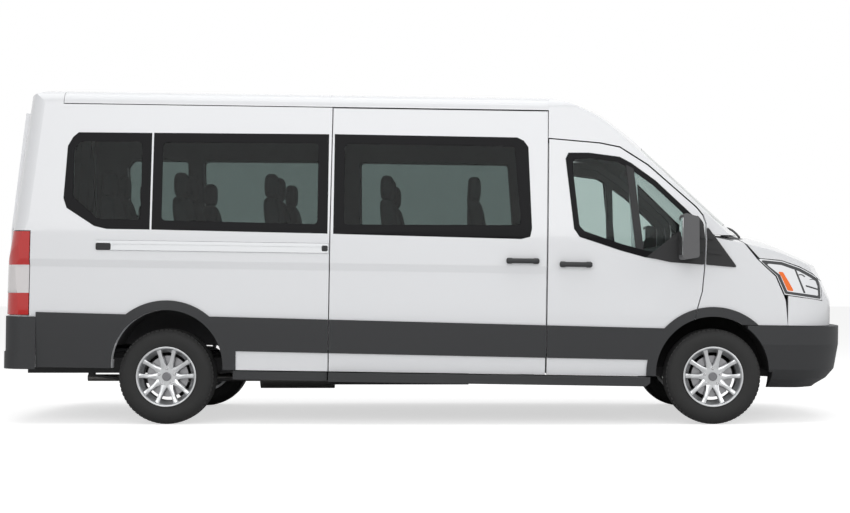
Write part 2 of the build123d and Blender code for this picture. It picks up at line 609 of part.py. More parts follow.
triangle = (cab_tub(-8.0) - tub_out) & prism([(1500, 1172), (1846, 1456), (1888, 1400), (1884, 1128), (1660, 1140)], -1100, -800)
save("door_trim_right", gather(door_clad, triangle))
save("door_trim_left", flip(gather(door_clad, triangle)))
step = prism([(-664, 288), (-664, 350), (1530, 350), (1530, 310), (1500, 288)], -1036, -880)
sill = prism([(-1318, 292), (-1318, 350), (-676, 350), (-676, 292)], -1000, -880)
save("side_steps", both(gather(step, sill)))
rail = (middle_volume(-6.0) - middle_volume(7.0)) & block(-2260, SEAM_SLIDE - 8, -1100, -900, 1164, 1230)
rail -= (middle_volume(-8.0) - middle_volume(0.0)) & block(-2150, SEAM_SLIDE - 30, -1100, -900, 1190, 1206)
save("door_rail", rail)

# ---------------------------------------------------------------- floor and liners
floor = block(-2690, SEAM_B, -890, 890, FLOOR_Z - 50, FLOOR_Z)
floor += block(SEAM_B - 10, 1500, -870, 870, FLOOR_Z - 50, FLOOR_Z) + block(1490, 1880, -540, 540, FLOOR_Z - 50, FLOOR_Z)
rear_well = disc_y(ARCH_REAR_X, ARCH_Z, ARCH_REAR_R + 14, -945, -630)
floor -= rear_well + flip(rear_well)
well = disc_y(ARCH_REAR_X, ARCH_Z, ARCH_REAR_R + 14, -944, -620) - disc_y(ARCH_REAR_X, ARCH_Z, ARCH_REAR_R + 4, -955, -632)
well &= block(-2300, -1200, -950, -600, FLOOR_Z - 50, 900)
floor = floor + well + flip(well)
floor += block(1876, 1896, -860, 860, FLOOR_Z - 50, 1180)
floor -= LINER_ROOM
save("floor_pan", floor)
liner = disc_y(ARCH_FRONT_X, ARCH_Z, ARCH_FRONT_R + 24, -922, -550)
liner -= disc_y(ARCH_FRONT_X, ARCH_Z, ARCH_FRONT_R + 16, -930, -558)
liner &= block(1500, 2400, -975, -540, 400, 900)
save("wheel_liners", both(liner))

# ---------------------------------------------------------------- wheels, upright
SPOKES = 5
LUG_R = 56.0


def tyre_solid():
    """Tyre with its axis along Z and its outer face at z = 0."""
    w = TYRE_W
    ring = [
        (196, -24), (204, -12), (222, -6), (262, 0), (296, -6), (318, -20), (TYRE_R, -44),
        (TYRE_R, 44 - w), (318, 20 - w), (296, 6 - w), (262, -w), (222, 6 - w), (204, 12 - w), (196, 24 - w),
    ]
    return revolve(Plane.XZ * make_face(Polyline(*ring, close=True)), Axis.Z, 360)


def wheel_solid():
    """Ten-window wheel, axis along Z, outer face towards +Z."""
    r = RIM_R - 1
    outline = [
        (0, -26), (66, -26), (80, -34), (130, -22), (r - 28, -10), (r - 22, -4), (r, -4), (r, -11),
        (r - 12, -13), (r - 12, -36), (r - 34, -52), (r - 34, -120), (r - 12, -138), (r - 12, -202),
        (r, -205), (r, -211), (r - 19, -211), (r - 19, -142), (r - 40, -128), (r - 40, -56),
        (90, -66), (0, -70),
    ]
    face = revolve(Plane.XZ * make_face(Polyline(*outline, close=True)), Axis.Z, 360)
    for i in range(SPOKES):
        turn = 360 / SPOKES * i
        deep = [(104, -15), (172, -31), (172, 31), (104, 15)]
        deep = extrude(make_face(FilletPolyline(*deep, radius=12, close=True)), 100, both=True)
        shallow = [(84, -3), (170, -33), (170, 33), (84, 3)]
        shallow = extrude(make_face(FilletPolyline(*shallow, radius=2.5, close=True)), 100, both=True)
        face -= Rot(0, 0, 90 + turn) * deep
        face -= Rot(0, 0, 54 + turn) * shallow
    lugs = [Pos(0, 0, -26) * (Rot(0, 0, 90 + 360 / SPOKES * i) * (Pos(LUG_R, 0, 5) * Cylinder(9, 10))) for i in range(SPOKES)]
    cap = Pos(0, 0, -20) * Cylinder(33, 12)
    solid = face + cap
    for lug in lugs:
        solid += lug
    return solid


tyre = tyre_solid()
wheel = wheel_solid()
CORNERS = [
    ("fr", FRONT_AXLE_X, -1),
    ("fl", FRONT_AXLE_X, 1),
    ("rr", REAR_AXLE_X, -1),
    ("rl", REAR_AXLE_X, 1),
]
for name, axle_x, hand in CORNERS:
    place = Pos(axle_x, hand * WHEEL_FACE_Y, TYRE_R) * Rot(-90 * hand, 0, 0)
    save(f"tyre_{name}", place * tyre, raked=False)
    save(f"wheel_{name}", place * wheel, raked=False)

upright = block(FRONT_AXLE_X - 46, FRONT_AXLE_X + 46, -752, -716, 214, 470)
upright += disc_y(FRONT_AXLE_X, TYRE_R, 52, -878, -750)
upright += disc_y(FRONT_AXLE_X, TYRE_R, 138, -826, -804)
upright += Pos(FRONT_AXLE_X, -KINGPIN_Y, 200) * Cylinder(16, 36)
upright += Pos(FRONT_AXLE_X, -KINGPIN_Y, 486) * Cylinder(16, 36)
save("knuckle_right", upright, raked=False)
save("knuckle_left", flip(upright), raked=False)

# ---------------------------------------------------------------- chassis, upright
RAIL_Y = 470.0
RAIL_LOW = 330.0
RAIL_HIGH = 440.0
rails = block(-2845, 1500, -RAIL_Y - 38, -RAIL_Y + 38, RAIL_LOW, RAIL_HIGH)
rails += block(1490, 2640, -RAIL_Y - 38, -RAIL_Y + 38, RAIL_LOW - 20, RAIL_HIGH - 20)
rails = rails + flip(rails)
for x in (-2810, -2250, -1300, -500, 400, 1300, 2600):
    low = RAIL_LOW if x < 1490 else RAIL_LOW - 20
    rails += block(x - 35, x + 35, -RAIL_Y, RAIL_Y, low + 20, low + 90)
rails -= disc_y(REAR_AXLE_X, TYRE_R, 62, -600, 600)
save("chassis_frame", rails, raked=False)

axle = disc_y(REAR_AXLE_X, TYRE_R, 44, -800, 800)
axle += disc_y(REAR_AXLE_X, TYRE_R, 120, -880, -775) + disc_y(REAR_AXLE_X, TYRE_R, 120, 775, 880)
axle += disc_y(REAR_AXLE_X, TYRE_R, 60, -900, -870) + disc_y(REAR_AXLE_X, TYRE_R, 60, 870, 900)
spring = prism(
    [(REAR_AXLE_X - 640, 320), (REAR_AXLE_X - 60, 262), (REAR_AXLE_X + 60, 262), (REAR_AXLE_X + 620, 320),
     (REAR_AXLE_X + 620, 308), (REAR_AXLE_X + 60, 236), (REAR_AXLE_X - 60, 236), (REAR_AXLE_X - 640, 308)],
    -RAIL_Y - 30, -RAIL_Y + 30,
)
spring += block(REAR_AXLE_X - 640, REAR_AXLE_X - 600, -RAIL_Y - 30, -RAIL_Y + 30, 310, 329.5)
spring += block(REAR_AXLE_X + 580, REAR_AXLE_X + 620, -RAIL_Y - 30, -RAIL_Y + 30, 310, 329.5)
spring += block(REAR_AXLE_X - 50, REAR_AXLE_X + 50, -RAIL_Y - 30, -RAIL_Y + 30, 240, 300)
axle = axle + spring + flip(spring)
save("rear_axle", axle, raked=False)

arms = block(1800, 2150, -RAIL_Y + 45, RAIL_Y - 45, 190, 262)
arm = prism([(1830, 196), (1830, 224), (2120, 224), (2120, 196)], -560, -400) + block(FRONT_AXLE_X - 15, FRONT_AXLE_X + 15, -696, -540, 196, 224)
arms += arm + flip(arm)
arms += block(1955, 1995, -560, -430, 224, 309) + block(1955, 1995, 430, 560, 224, 309)
save("front_suspension", arms, raked=False)

save("engine_block", block(2090, 2560, -340, 340, 450, 900), raked=False)
pipe = Pos(-900, 300, 250) * Rot(0, 90, 0) * Cylinder(26, 3400)
pipe += Pos(-1000, 300, 250) * Rot(0, 90, 0) * Cylinder(80, 560)
save("exhaust", pipe, raked=False)
save("fuel_tank", block(-700, 300, -400, -20, 240, 400) - block(-560, -440, -500, 500, 340, 500), raked=False)

# ---------------------------------------------------------------- dashboard, steering wheel, seats
dash = prism(
    [(1560, 1010), (1545, 1180), (1640, 1262), (1870, 1290), (1870, 1010)], -880, 880
)
save("dashboard", dash)
wx, wy, wz = STEER_WHEEL
hub_turn = Rot(0, -38, 0)
steer = Torus(186, 14) + Pos(0, 0, -16) * Cylinder(52, 36)
for angle in (0, 180, 270):
    steer += Rot(0, 0, angle) * (Pos(112, 0, -10) * Box(150, 26, 12))
steer += Pos(0, 0, -60) * Cylinder(16, 60)
save("steering_wheel", Pos(wx, wy, wz) * hub_turn * steer)

ROW_HEAD_X = [309.0, -304.0, -1116.0, -1750.0, -2251.0]
ROW_SEAT_Y = [-660.0, -225.0, 660.0]


def chair(head_x, seat_y, width):
    """High-backed seat: cushion, back, head rest and a floor frame."""
    cushion = block(head_x + 90, head_x + 540, seat_y - width / 2, seat_y + width / 2, 880, 990)
    back = prism(
        [(head_x + 150, 992), (head_x + 60, 960), (head_x - 50, 1540), (head_x + 30, 1552)],
        seat_y - width / 2, seat_y + width / 2,
    )
    head = block(head_x - 40, head_x + 50, seat_y - 120, seat_y + 120, 1556, 1716)
    legs = block(head_x + 150, head_x + 200, seat_y - width / 2 + 20, seat_y + width / 2 - 20, FLOOR_Z, 880)
    legs += block(head_x + 420, head_x + 470, seat_y - width / 2 + 20, seat_y + width / 2 - 20, FLOOR_Z, 880)
    return gather(cushion + back + legs, head)


rows = [chair(x, y, 420) for x in ROW_HEAD_X for y in ROW_SEAT_Y]
over_well = disc_y(ARCH_REAR_X, ARCH_Z, ARCH_REAR_R + 16, -955, -612)
over_well = over_well + flip(over_well)
save("passenger_seats", gather(*rows) - over_well)
CAB_SEATS = [(905.0, 430.0, 460.0), (905.0, -230.0, 400.0), (905.0, -650.0, 400.0)]
save("cab_seats", gather(*[chair(x, y, w) for x, y, w in CAB_SEATS]))

# ---------------------------------------------------------------- mirrors, wipers
mirror_pod = prism(
    [(1716, 1470), (1820, 1440), (1826, 1170), (1716, 1150)], -1236, -1010, 20
)
mirror_pod += block(1740, 1800, -1020, -995, 1200, 1240) + block(1740, 1800, -1020, -975, 1360, 1400)
mirror_pod -= tub_out
mirror_pod -= triangle
save("door_mirror_right", mirror_pod)
save("door_mirror_left", flip(mirror_pod))
BLADE_X = 2178.0
blade_ends = [(BLADE_X, y, cab_top(BLADE_X, y) + 12) for y in (-700, -370, -40)]
path = ThreePointArc(*blade_ends)
blade = sweep(Plane(origin=path @ 0, z_dir=path % 0) * Circle(8), path)
save("wipers", both(blade))
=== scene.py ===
import math
import bmesh
import bpy
from mathutils import Matrix, Vector
from mathutils.geometry import tessellate_polygon


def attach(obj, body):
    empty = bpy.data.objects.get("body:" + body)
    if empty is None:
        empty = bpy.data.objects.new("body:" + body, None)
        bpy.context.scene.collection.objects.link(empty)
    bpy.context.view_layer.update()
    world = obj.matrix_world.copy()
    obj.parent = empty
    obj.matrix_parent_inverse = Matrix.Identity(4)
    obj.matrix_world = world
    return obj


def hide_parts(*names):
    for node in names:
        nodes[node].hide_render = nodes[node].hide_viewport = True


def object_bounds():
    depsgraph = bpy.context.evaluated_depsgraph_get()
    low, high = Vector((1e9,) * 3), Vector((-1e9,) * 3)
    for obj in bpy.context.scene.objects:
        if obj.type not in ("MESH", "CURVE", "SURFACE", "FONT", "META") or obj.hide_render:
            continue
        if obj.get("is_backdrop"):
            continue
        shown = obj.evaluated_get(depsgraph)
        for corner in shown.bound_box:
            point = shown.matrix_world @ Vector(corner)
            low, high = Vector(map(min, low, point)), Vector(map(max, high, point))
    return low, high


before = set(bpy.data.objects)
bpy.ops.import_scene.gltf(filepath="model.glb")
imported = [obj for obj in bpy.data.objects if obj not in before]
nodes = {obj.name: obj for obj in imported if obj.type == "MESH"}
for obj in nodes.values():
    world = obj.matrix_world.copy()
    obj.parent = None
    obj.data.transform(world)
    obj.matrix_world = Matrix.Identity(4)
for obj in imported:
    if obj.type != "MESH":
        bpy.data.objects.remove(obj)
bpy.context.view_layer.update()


# ---------------------------------------------------------------- painted body
# Pressed steel panels, welded into one shell and sprayed white with a clear
# coat.  On the cabin side the same panels take a dull dark grey, partly their
# linings and partly painted shade for the dim cabin.
# The body stands nose down, so its pieces are drawn level and turned by RAKE.
RAKE = Matrix.Rotation(math.radians(0.85), 4, "Y")
HALF_WIDTH = 1.022
CAB_START = 0.82
SIDE_BOW = 20.0
WAIST_Z = 1.31
# height, and how far the side lies inside its widest stretch there
SIDE_INSETS = [(0.357, 0.024), (0.735, 0.0), (WAIST_Z, 0.010), (2.251, 0.140)]
PAINT_WHITE = (0.83, 0.84, 0.86)
# dull dark grey for the cabin side: the linings, with painted shade for the dim cabin
LINING_AND_SHADE_GREY = (0.075, 0.078, 0.082)


def body_half(x, z):
    """Distance of the outer skin from the centre plane, in the body's own level frame."""
    z = min(max(z, SIDE_INSETS[0][0]), SIDE_INSETS[-1][0])
    for (z0, d0), (z1, d1) in zip(SIDE_INSETS, SIDE_INSETS[1:]):
        if z <= z1:
            inset = d0 + (d1 - d0) * (z - z0) / (z1 - z0)
            break
    bow = max(x - CAB_START, 0.0) ** 2 / (2 * SIDE_BOW)
    return HALF_WIDTH - inset - bow


def new_socket_group(name, inputs, outputs):
    """Empty shader group whose sockets are given as (label, type, default)."""
    group = bpy.data.node_groups.new(name, "ShaderNodeTree")
    for kind, sockets in (("INPUT", inputs), ("OUTPUT", outputs)):
        for label, sort, default in sockets:
            made = group.interface.new_socket(label, in_out=kind, socket_type=sort)
            if default is not None:
                made.default_value = default
    return group


def add_node(tree, sort, **values):
    """Adds a node to a tree and sets its options."""
    made = tree.nodes.new(sort)
    for key, value in values.items():
        setattr(made, key, value)
    return made


def plain(name, colour, rough, metal=0.0, coat=0.0, glow=0.0, clear=0.0, ior=1.5):
    """A Principled material with plain values."""
    made = bpy.data.materials.new(name)
    made.use_nodes = True
    skin = made.node_tree.nodes["Principled BSDF"]
    skin.inputs["Base Color"].default_value = (*colour, 1.0)
    skin.inputs["Roughness"].default_value = rough
    skin.inputs["Metallic"].default_value = metal
    skin.inputs["Coat Weight"].default_value = coat
    skin.inputs["Coat Roughness"].default_value = 0.04
    skin.inputs["IOR"].default_value = ior
    skin.inputs["Transmission Weight"].default_value = clear
    if glow:
        skin.inputs["Emission Color"].default_value = (*colour, 1.0)
        skin.inputs["Emission Strength"].default_value = glow
    return made


def cabin_side_mask_group():
    """Mask that is 1 on the faces that look into the cabin."""
    group = new_socket_group(
        "cabin side mask",
        [("Mid Height", "NodeSocketFloat", 1.15), ("Edge", "NodeSocketFloat", -0.12)],
        [("Mask", "NodeSocketFloat", None)],
    )
    start, end = add_node(group, "NodeGroupInput"), add_node(group, "NodeGroupOutput")
    place = add_node(group, "ShaderNodeTexCoord")
    face = add_node(group, "ShaderNodeNewGeometry")
    split = add_node(group, "ShaderNodeSeparateXYZ")
    drop = add_node(group, "ShaderNodeMath", operation="SUBTRACT")
    join = add_node(group, "ShaderNodeCombineXYZ")
    reach = add_node(group, "ShaderNodeVectorMath", operation="NORMALIZE")
    dot = add_node(group, "ShaderNodeVectorMath", operation="DOT_PRODUCT")
    below = add_node(group, "ShaderNodeMath", operation="LESS_THAN")
    link = group.links.new
    link(place.outputs["Object"], split.inputs[0])
    link(split.outputs["Z"], drop.inputs[0])
    link(start.outputs["Mid Height"], drop.inputs[1])
    link(split.outputs["Y"], join.inputs["Y"])
    link(drop.outputs[0], join.inputs["Z"])
    link(join.outputs[0], reach.inputs[0])
    link(reach.outputs[0], dot.inputs[0])
    link(face.outputs["True Normal"], dot.inputs[1])
    link(dot.outputs["Value"], below.inputs[0])
    link(start.outputs["Edge"], below.inputs[1])
    link(below.outputs[0], end.inputs["Mask"])
    return group


CABIN_SIDE_MASK = cabin_side_mask_group()


def faded(tree, mask, outside, inside):
    """A value that goes from outside to inside as the mask goes from 0 to 1."""
    step = add_node(tree, "ShaderNodeMapRange")
    step.inputs["To Min"].default_value = outside
    step.inputs["To Max"].default_value = inside
    tree.links.new(mask, step.inputs["Value"])
    return step.outputs["Result"]


def body_paint(name, mid_height):
    """White paint outside; on the cabin side a dull dark grey, partly lining and partly painted shade."""
    made = plain(name, PAINT_WHITE, 0.32, coat=0.6)
    tree = made.node_tree
    skin = tree.nodes["Principled BSDF"]
    side = add_node(tree, "ShaderNodeGroup", node_tree=CABIN_SIDE_MASK)
    side.inputs["Mid Height"].default_value = mid_height
    mask = side.outputs["Mask"]
    mix = add_node(tree, "ShaderNodeMix", data_type="RGBA")
    mix.inputs["A"].default_value = (*PAINT_WHITE, 1.0)
    mix.inputs["B"].default_value = (*LINING_AND_SHADE_GREY, 1.0)
    tree.links.new(mask, mix.inputs["Factor"])
    tree.links.new(mix.outputs["Result"], skin.inputs["Base Color"])
    tree.links.new(faded(tree, mask, 0.30, 0.8), skin.inputs["Roughness"])
    tree.links.new(faded(tree, mask, 0.6, 0.0), skin.inputs["Coat Weight"])
    return made


def paint(node, material):
    """Gives a CAD node its finish."""
    made = nodes[node].data
    made.materials.clear()
    made.materials.append(material)


white = body_paint("white body paint", 1.15)
for node in (
    "roof_panel", "side_panel_right", "side_panel_left", "rear_frame", "cab_frame", "sliding_door",
    "front_door_right", "front_door_left", "rear_door_right", "rear_door_left",
):
    paint(node, white)
outer_white = plain("white panel paint", PAINT_WHITE, 0.30, coat=0.6)
for node in ("front_wings", "front_panel", "bonnet"):
    paint(node, outer_white)


# ---------------------------------------------------------------- dark mouldings
# Bumpers, side cladding, steps and trims are moulded in grained dark grey
# plastic and clipped over the painted panels.
def grain_group():
    """Fine bump for moulded plastic, rubber and cloth."""
    group = new_socket_group(
        "moulded grain",
        [("Size", "NodeSocketFloat", 900.0), ("Depth", "NodeSocketFloat", 0.15)],
        [("Normal", "NodeSocketVector", None)],
    )
    start, end = add_node(group, "NodeGroupInput"), add_node(group, "NodeGroupOutput")
    place = add_node(group, "ShaderNodeTexCoord")
    noise = add_node(group, "ShaderNodeTexNoise")
    bump = add_node(group, "ShaderNodeBump")
    bump.inputs["Distance"].default_value = 0.0006
    link = group.links.new
    link(place.outputs["Object"], noise.inputs["Vector"])
    link(start.outputs["Size"], noise.inputs["Scale"])
    link(start.outputs["Depth"], bump.inputs["Strength"])
    link(noise.outputs[0], bump.inputs["Height"])
    link(bump.outputs[0], end.inputs["Normal"])
    return group


GRAIN = grain_group()


def grained(name, colour, rough, size=900.0, depth=0.15):
    """A plain material with the moulded grain on it."""
    made = plain(name, colour, rough)
    tree = made.node_tree
    grain = add_node(tree, "ShaderNodeGroup", node_tree=GRAIN)
    grain.inputs["Size"].default_value = size
    grain.inputs["Depth"].default_value = depth
    tree.links.new(grain.outputs["Normal"], tree.nodes["Principled BSDF"].inputs["Normal"])
    return made


moulding = grained("dark grey moulding", (0.022, 0.023, 0.025), 0.55)
for node in (
    "front_bumper", "rear_bumper", "side_cladding", "side_steps", "cowl_panel",
    "door_trim_right", "door_trim_left",
):
    paint(node, moulding)
gloss_black = plain("gloss black plastic", (0.008, 0.008, 0.009), 0.18)
paint("grille", gloss_black)
paint("wheel_liners", grained("wheel arch liner", (0.008, 0.008, 0.008), 0.9))
paint("wipers", plain("wiper black", (0.01, 0.01, 0.01), 0.5))
paint("floor_pan", grained("floor mat", (0.03, 0.03, 0.032), 0.85))
paint("dashboard", grained("dashboard trim", (0.02, 0.02, 0.021), 0.7))
paint("steering_wheel", plain("steering wheel rim", (0.01, 0.01, 0.01), 0.45))


# ---------------------------------------------------------------- windows
# Bonded safety glass.  A black ceramic band is fired on to the inner face
# round each pane, where the glue holds it to the panel.
dark_glass = plain("tinted glass", (0.26, 0.31, 0.30), 0.0, clear=1.0, ior=1.2)
clear_glass = plain("clear glass", (0.58, 0.66, 0.64), 0.0, clear=1.0, ior=1.2)
band_black = plain("fired black band", (0.004, 0.004, 0.005), 0.3, ior=1.2)
for node in ("side_windows", "sliding_door_glass", "rear_door_glass_right", "rear_door_glass_left"):
    paint(node, dark_glass)
for node in ("windscreen", "front_door_glass_right", "front_door_glass_left"):
    paint(node, clear_glass)

# half angle in degrees, past which a corner is left unrounded
STRAIGHT = 86
BAND_THICK = 0.0007
SIDE_BAND_LIFT = -0.0012
SIDE_STEPS = (("v", 0.06), ("u", 0.15))


def rounded(points, radius, steps=6):
    """Outline with its corners rounded."""
    made = []
    count = len(points)
    for i, corner in enumerate(points):
        here = Vector(corner)
        before, after = Vector(points[i - 1]), Vector(points[(i + 1) % count])
        to_before, to_after = before - here, after - here
        half = to_before.angle(to_after) / 2
        reach = min(radius / math.tan(half), to_before.length * 0.48, to_after.length * 0.48)
        a, b = here + to_before.normalized() * reach, here + to_after.normalized() * reach
        if math.degrees(half) > STRAIGHT:
            made.append(here)
            continue
        for k in range(steps + 1):
            t = k / steps
            made.append(a * (1 - t) ** 2 + here * 2 * t * (1 - t) + b * t * t)
    return made


def link_object(name, mesh, material, body):
    """Puts a finished mesh in the scene, on its body, with its material."""
    made = bpy.data.objects.new(name, mesh)
    bpy.context.scene.collection.objects.link(made)
    mesh.materials.clear()
    mesh.materials.append(material)
    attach(made, body)
    return made


def plate_mesh(name, outline, holes, thickness, surface, cuts=()):
    """Outline (u, v) with holes, cut into strips and laid on surface(u, v, depth) as a closed plate."""
    loops = [[Vector((u, v, 0)) for u, v in loop] for loop in [outline, *holes]]
    flat = [p for loop in loops for p in loop]
    work = bmesh.new()
    verts = [work.verts.new(p) for p in flat]
    for tri in tessellate_polygon(loops):
        try:
            work.faces.new([verts[i] for i in tri])
        except ValueError:
            pass
    for axis, values in cuts:
        normal = Vector((1, 0, 0)) if axis == "u" else Vector((0, 1, 0))
        for value in values:
            everything = work.verts[:] + work.edges[:] + work.faces[:]
            bmesh.ops.bisect_plane(work, geom=everything, plane_co=normal * value, plane_no=normal)
    bmesh.ops.remove_doubles(work, verts=work.verts, dist=1e-6)
    bmesh.ops.recalc_face_normals(work, faces=work.faces)
    top = {v: Vector(surface(v.co.x, v.co.y, 0.0)) for v in work.verts}
    low = {v: Vector(surface(v.co.x, v.co.y, thickness)) for v in work.verts}
    order = list(work.verts)
    index = {v: i for i, v in enumerate(order)}
    n = len(order)
    faces = [[index[v] for v in f.verts] for f in work.faces]
    made_faces = faces + [[i + n for i in reversed(f)] for f in faces]
    for edge in work.edges:
        if len(edge.link_faces) == 1:
            loop = edge.link_loops[0]
            a, b = index[loop.vert], index[loop.link_loop_next.vert]
            made_faces.append([b, a, a + n, b + n])
    mesh = bpy.data.meshes.new(name)
    mesh.from_pydata([top[v] for v in order] + [low[v] for v in order], [], made_faces)
    work.free()
    mesh.update()
    closed = bmesh.new()
    closed.from_mesh(mesh)
    bmesh.ops.recalc_face_normals(closed, faces=closed.faces)
    closed.to_mesh(mesh)
    closed.free()
    return mesh


def side_surface(hand, lift):
    """Places (x, z, depth) on the outer skin of one side; lift is outwards."""
    def put(x, z, depth):
        return RAKE @ Vector((x, hand * (body_half(x, z) + lift - depth), z))
    return put


def spread(low, high, step):
    """Evenly spaced values between low and high, about step apart, without the ends."""
    count = max(int((high - low) / step), 1)
    return [low + (high - low) * i / count for i in range(1, count)]


def skin_piece(
    name, outline, surface, steps, body, material, slot, thickness, holes=(), radius=0.03, hole_radius=0.03,
):
    """Plate laid on a curved skin.  steps gives the spacing of the cuts that let it bend."""
    rim = rounded(outline, radius) if radius else [Vector(p) for p in outline]
    inner = [rounded(hole, hole_radius) for hole in holes]
    cuts = []
    for axis, step in steps:
        values = [p["uv".index(axis)] for p in rim]
        cuts.append((axis, spread(min(values), max(values), step)))
    mesh = plate_mesh(name, rim, inner, thickness, surface, cuts)
    return link_object(name, mesh, material, body)


def side_piece(name, outline, hand, body, material, slot, lift, thickness, **shape):
    """Plate on one side of the body, level outline (x, z)."""
    surface = side_surface(hand, lift)
    return skin_piece(name, outline, surface, SIDE_STEPS, body, material, slot, thickness, **shape)


# pane outline, opening outline (x, z), carried by (right body, left body)
QUARTER = (
    [
        (-2.482, 1.876), (-2.449, 1.938), (-2.412, 1.971), (-1.909, 1.974), (-1.901, 1.309), (-2.193, 1.309),
        (-2.278, 1.328), (-2.471, 1.449), (-2.495, 1.514),
    ],
    [(-2.437, 1.855), (-2.395, 1.910), (-1.972, 1.912), (-1.965, 1.372), (-2.257, 1.378), (-2.430, 1.525)],
    ("body", "body"),
)
MIDDLE = (
    [(-1.893, 1.975), (-0.692, 1.983), (-0.686, 1.299), (-1.885, 1.309)],
    [(-1.828, 1.912), (-0.762, 1.920), (-0.756, 1.362), (-1.820, 1.372)],
    ("body", "body"),
)
SLIDING = (
    [
        (-0.650, 1.984), (0.602, 1.980), (0.648, 1.958), (0.680, 1.914), (0.710, 1.352), (0.698, 1.298),
        (0.638, 1.282), (-0.644, 1.298),
    ],
    [(-0.580, 1.920), (0.586, 1.920), (0.638, 1.376), (-0.574, 1.362)],
    ("body", "body"),
)
CAB_DOOR = (
    [
        (0.939, 1.839), (0.958, 1.880), (1.097, 1.882), (1.309, 1.857), (1.391, 1.814), (1.557, 1.696),
        (1.766, 1.504), (1.836, 1.438), (1.836, 1.142), (1.668, 1.146), (1.484, 1.170), (1.315, 1.214),
        (1.178, 1.258), (1.038, 1.302), (1.000, 1.356),
    ],
    [
        (0.985, 1.795), (0.995, 1.842), (1.099, 1.846), (1.298, 1.822), (1.372, 1.782), (1.534, 1.668),
        (1.732, 1.488), (1.783, 1.428), (1.783, 1.190), (1.674, 1.190), (1.494, 1.214), (1.330, 1.256),
        (1.194, 1.300), (1.070, 1.342), (1.036, 1.378),
    ],
    ("front_door_right", "front_door_left"),
)
WINDOWS = {
    "quarter_window": QUARTER,
    "middle_window": MIDDLE,
    "sliding_window": SLIDING,
    "cab_door_window": CAB_DOOR,
}
SIDES = ((-1, "right"), (1, "left"))
for label, (outline, opening, carriers) in WINDOWS.items():
    for (hand, side), carrier in zip(SIDES, carriers):
        side_piece(
            f"{label}_band_{side}", outline, hand, carrier, band_black, "tinted_glass",
            SIDE_BAND_LIFT, BAND_THICK, holes=[opening], radius=0.0,
        )


# ---------------------------------------------------------------- windscreen and rear windows
# The windscreen is laminated and bonded over the cowl; the rear panes sit in
# the doors.  Both carry the same fired black band.
# x, z of the middle line from the cab roof down the windscreen
ROOF_LINE = [
    (0.600, 2.320), (0.820, 2.319), (0.976, 2.298), (1.139, 2.249), (1.222, 2.209),
    (1.372, 2.108), (1.521, 1.986), (2.148, 1.426), (2.400, 1.200),
]
ROOF_BLEND = 0.7
ROOF_ACROSS = 5.870
SCREEN_ACROSS = 2.600
SCREEN_SHARE = 0.92
BAND_DEPTH = 0.0085


def line_slope(j):
    """Slope of ROOF_LINE at one of its points."""
    a, b = ROOF_LINE[max(j - 1, 0)], ROOF_LINE[min(j + 1, len(ROOF_LINE) - 1)]
    return (b[1] - a[1]) / (b[0] - a[0])


def roof_height(x, y):
    """Height of the cab roof and windscreen surface, in the level frame."""
    mix = min(max((x - CAB_START) / ROOF_BLEND, 0), 1)
    mix = mix * mix * (3 - 2 * mix)
    bow = (1 - mix) / ROOF_ACROSS + mix * SCREEN_SHARE / SCREEN_ACROSS
    i = max(0, min(len(ROOF_LINE) - 2, sum(1 for p in ROOF_LINE if p[0] <= x) - 1))
    (x0, z0), (x1, z1) = ROOF_LINE[i], ROOF_LINE[i + 1]
    h = x1 - x0
    u = (x - x0) / h
    rise = (3 - 2 * u) * u * u
    leave, arrive = h * line_slope(i), h * line_slope(i + 1)
    z = z0 + (z1 - z0) * rise + u * (1 - u) ** 2 * leave + u * u * (u - 1) * arrive
    return z - bow * y * y / 2


SCREEN_TOP = (1.521, 1.986)
SCREEN_FOOT = (2.148, 1.426)
SCREEN_FALL = math.atan2(SCREEN_TOP[1] - SCREEN_FOOT[1], SCREEN_FOOT[0] - SCREEN_TOP[0])


def screen_surface(s, y, depth):
    """s runs down the glass from its top edge, y across it."""
    x = SCREEN_TOP[0] + s * math.cos(SCREEN_FALL)
    z = SCREEN_TOP[1] - s * math.sin(SCREEN_FALL)
    into = 0.0
    for _ in range(12):
        px, pz = x - into * math.sin(SCREEN_FALL), z - into * math.cos(SCREEN_FALL)
        into += (pz - roof_height(px, y)) * math.cos(SCREEN_FALL)
    inward = into + BAND_DEPTH + depth
    return RAKE @ Vector((x - inward * math.sin(SCREEN_FALL), y, z - inward * math.cos(SCREEN_FALL)))


screen_rim = rounded(
    [
        (0.016, 0.846), (0.003, 0.0), (0.016, -0.846), (0.762, -0.906), (0.818, -0.454), (0.840, 0.0),
        (0.818, 0.454), (0.762, 0.906),
    ],
    0.056,
)
screen_clear = rounded(
    [
        (0.075, 0.772), (0.068, 0.0), (0.075, -0.772), (0.700, -0.826), (0.735, -0.420), (0.745, 0.0),
        (0.735, 0.420), (0.700, 0.826),
    ],
    0.06,
)
screen_cuts = (("v", spread(-0.9, 0.9, 0.07)), ("u", spread(0.0, 0.84, 0.12)))
screen_band = plate_mesh(
    "windscreen_band", screen_rim, [screen_clear], BAND_THICK, screen_surface, screen_cuts,
)
link_object("windscreen_band", screen_band, band_black, "body")

TAIL_BOW = 6.0
TAIL_X = -2.952
TAIL_LEAN = 0.8
TAIL_LEAN_HIGH = 5.2
# TAIL_X is measured this far below the waist
TAIL_X_DROP = 0.519
WAIST_BACK = TAIL_X + TAIL_X_DROP * math.tan(math.radians(TAIL_LEAN))
TAIL_STEPS = (("u", 0.12), ("v", 0.2))


def tail_x(y, z):
    """Rear face of the body and rear doors, in the level frame."""
    lean = math.tan(math.radians(TAIL_LEAN_HIGH if z > WAIST_Z else TAIL_LEAN))
    return WAIST_BACK + (z - WAIST_Z) * lean + TAIL_BOW - math.sqrt(TAIL_BOW ** 2 - y * y)


def tail_surface(lift):
    """Places (y, z, depth) on the bowed rear face; lift is outwards."""
    def put(y, z, depth):
        return RAKE @ Vector((tail_x(y, z) - lift + depth, y, z))
    return put


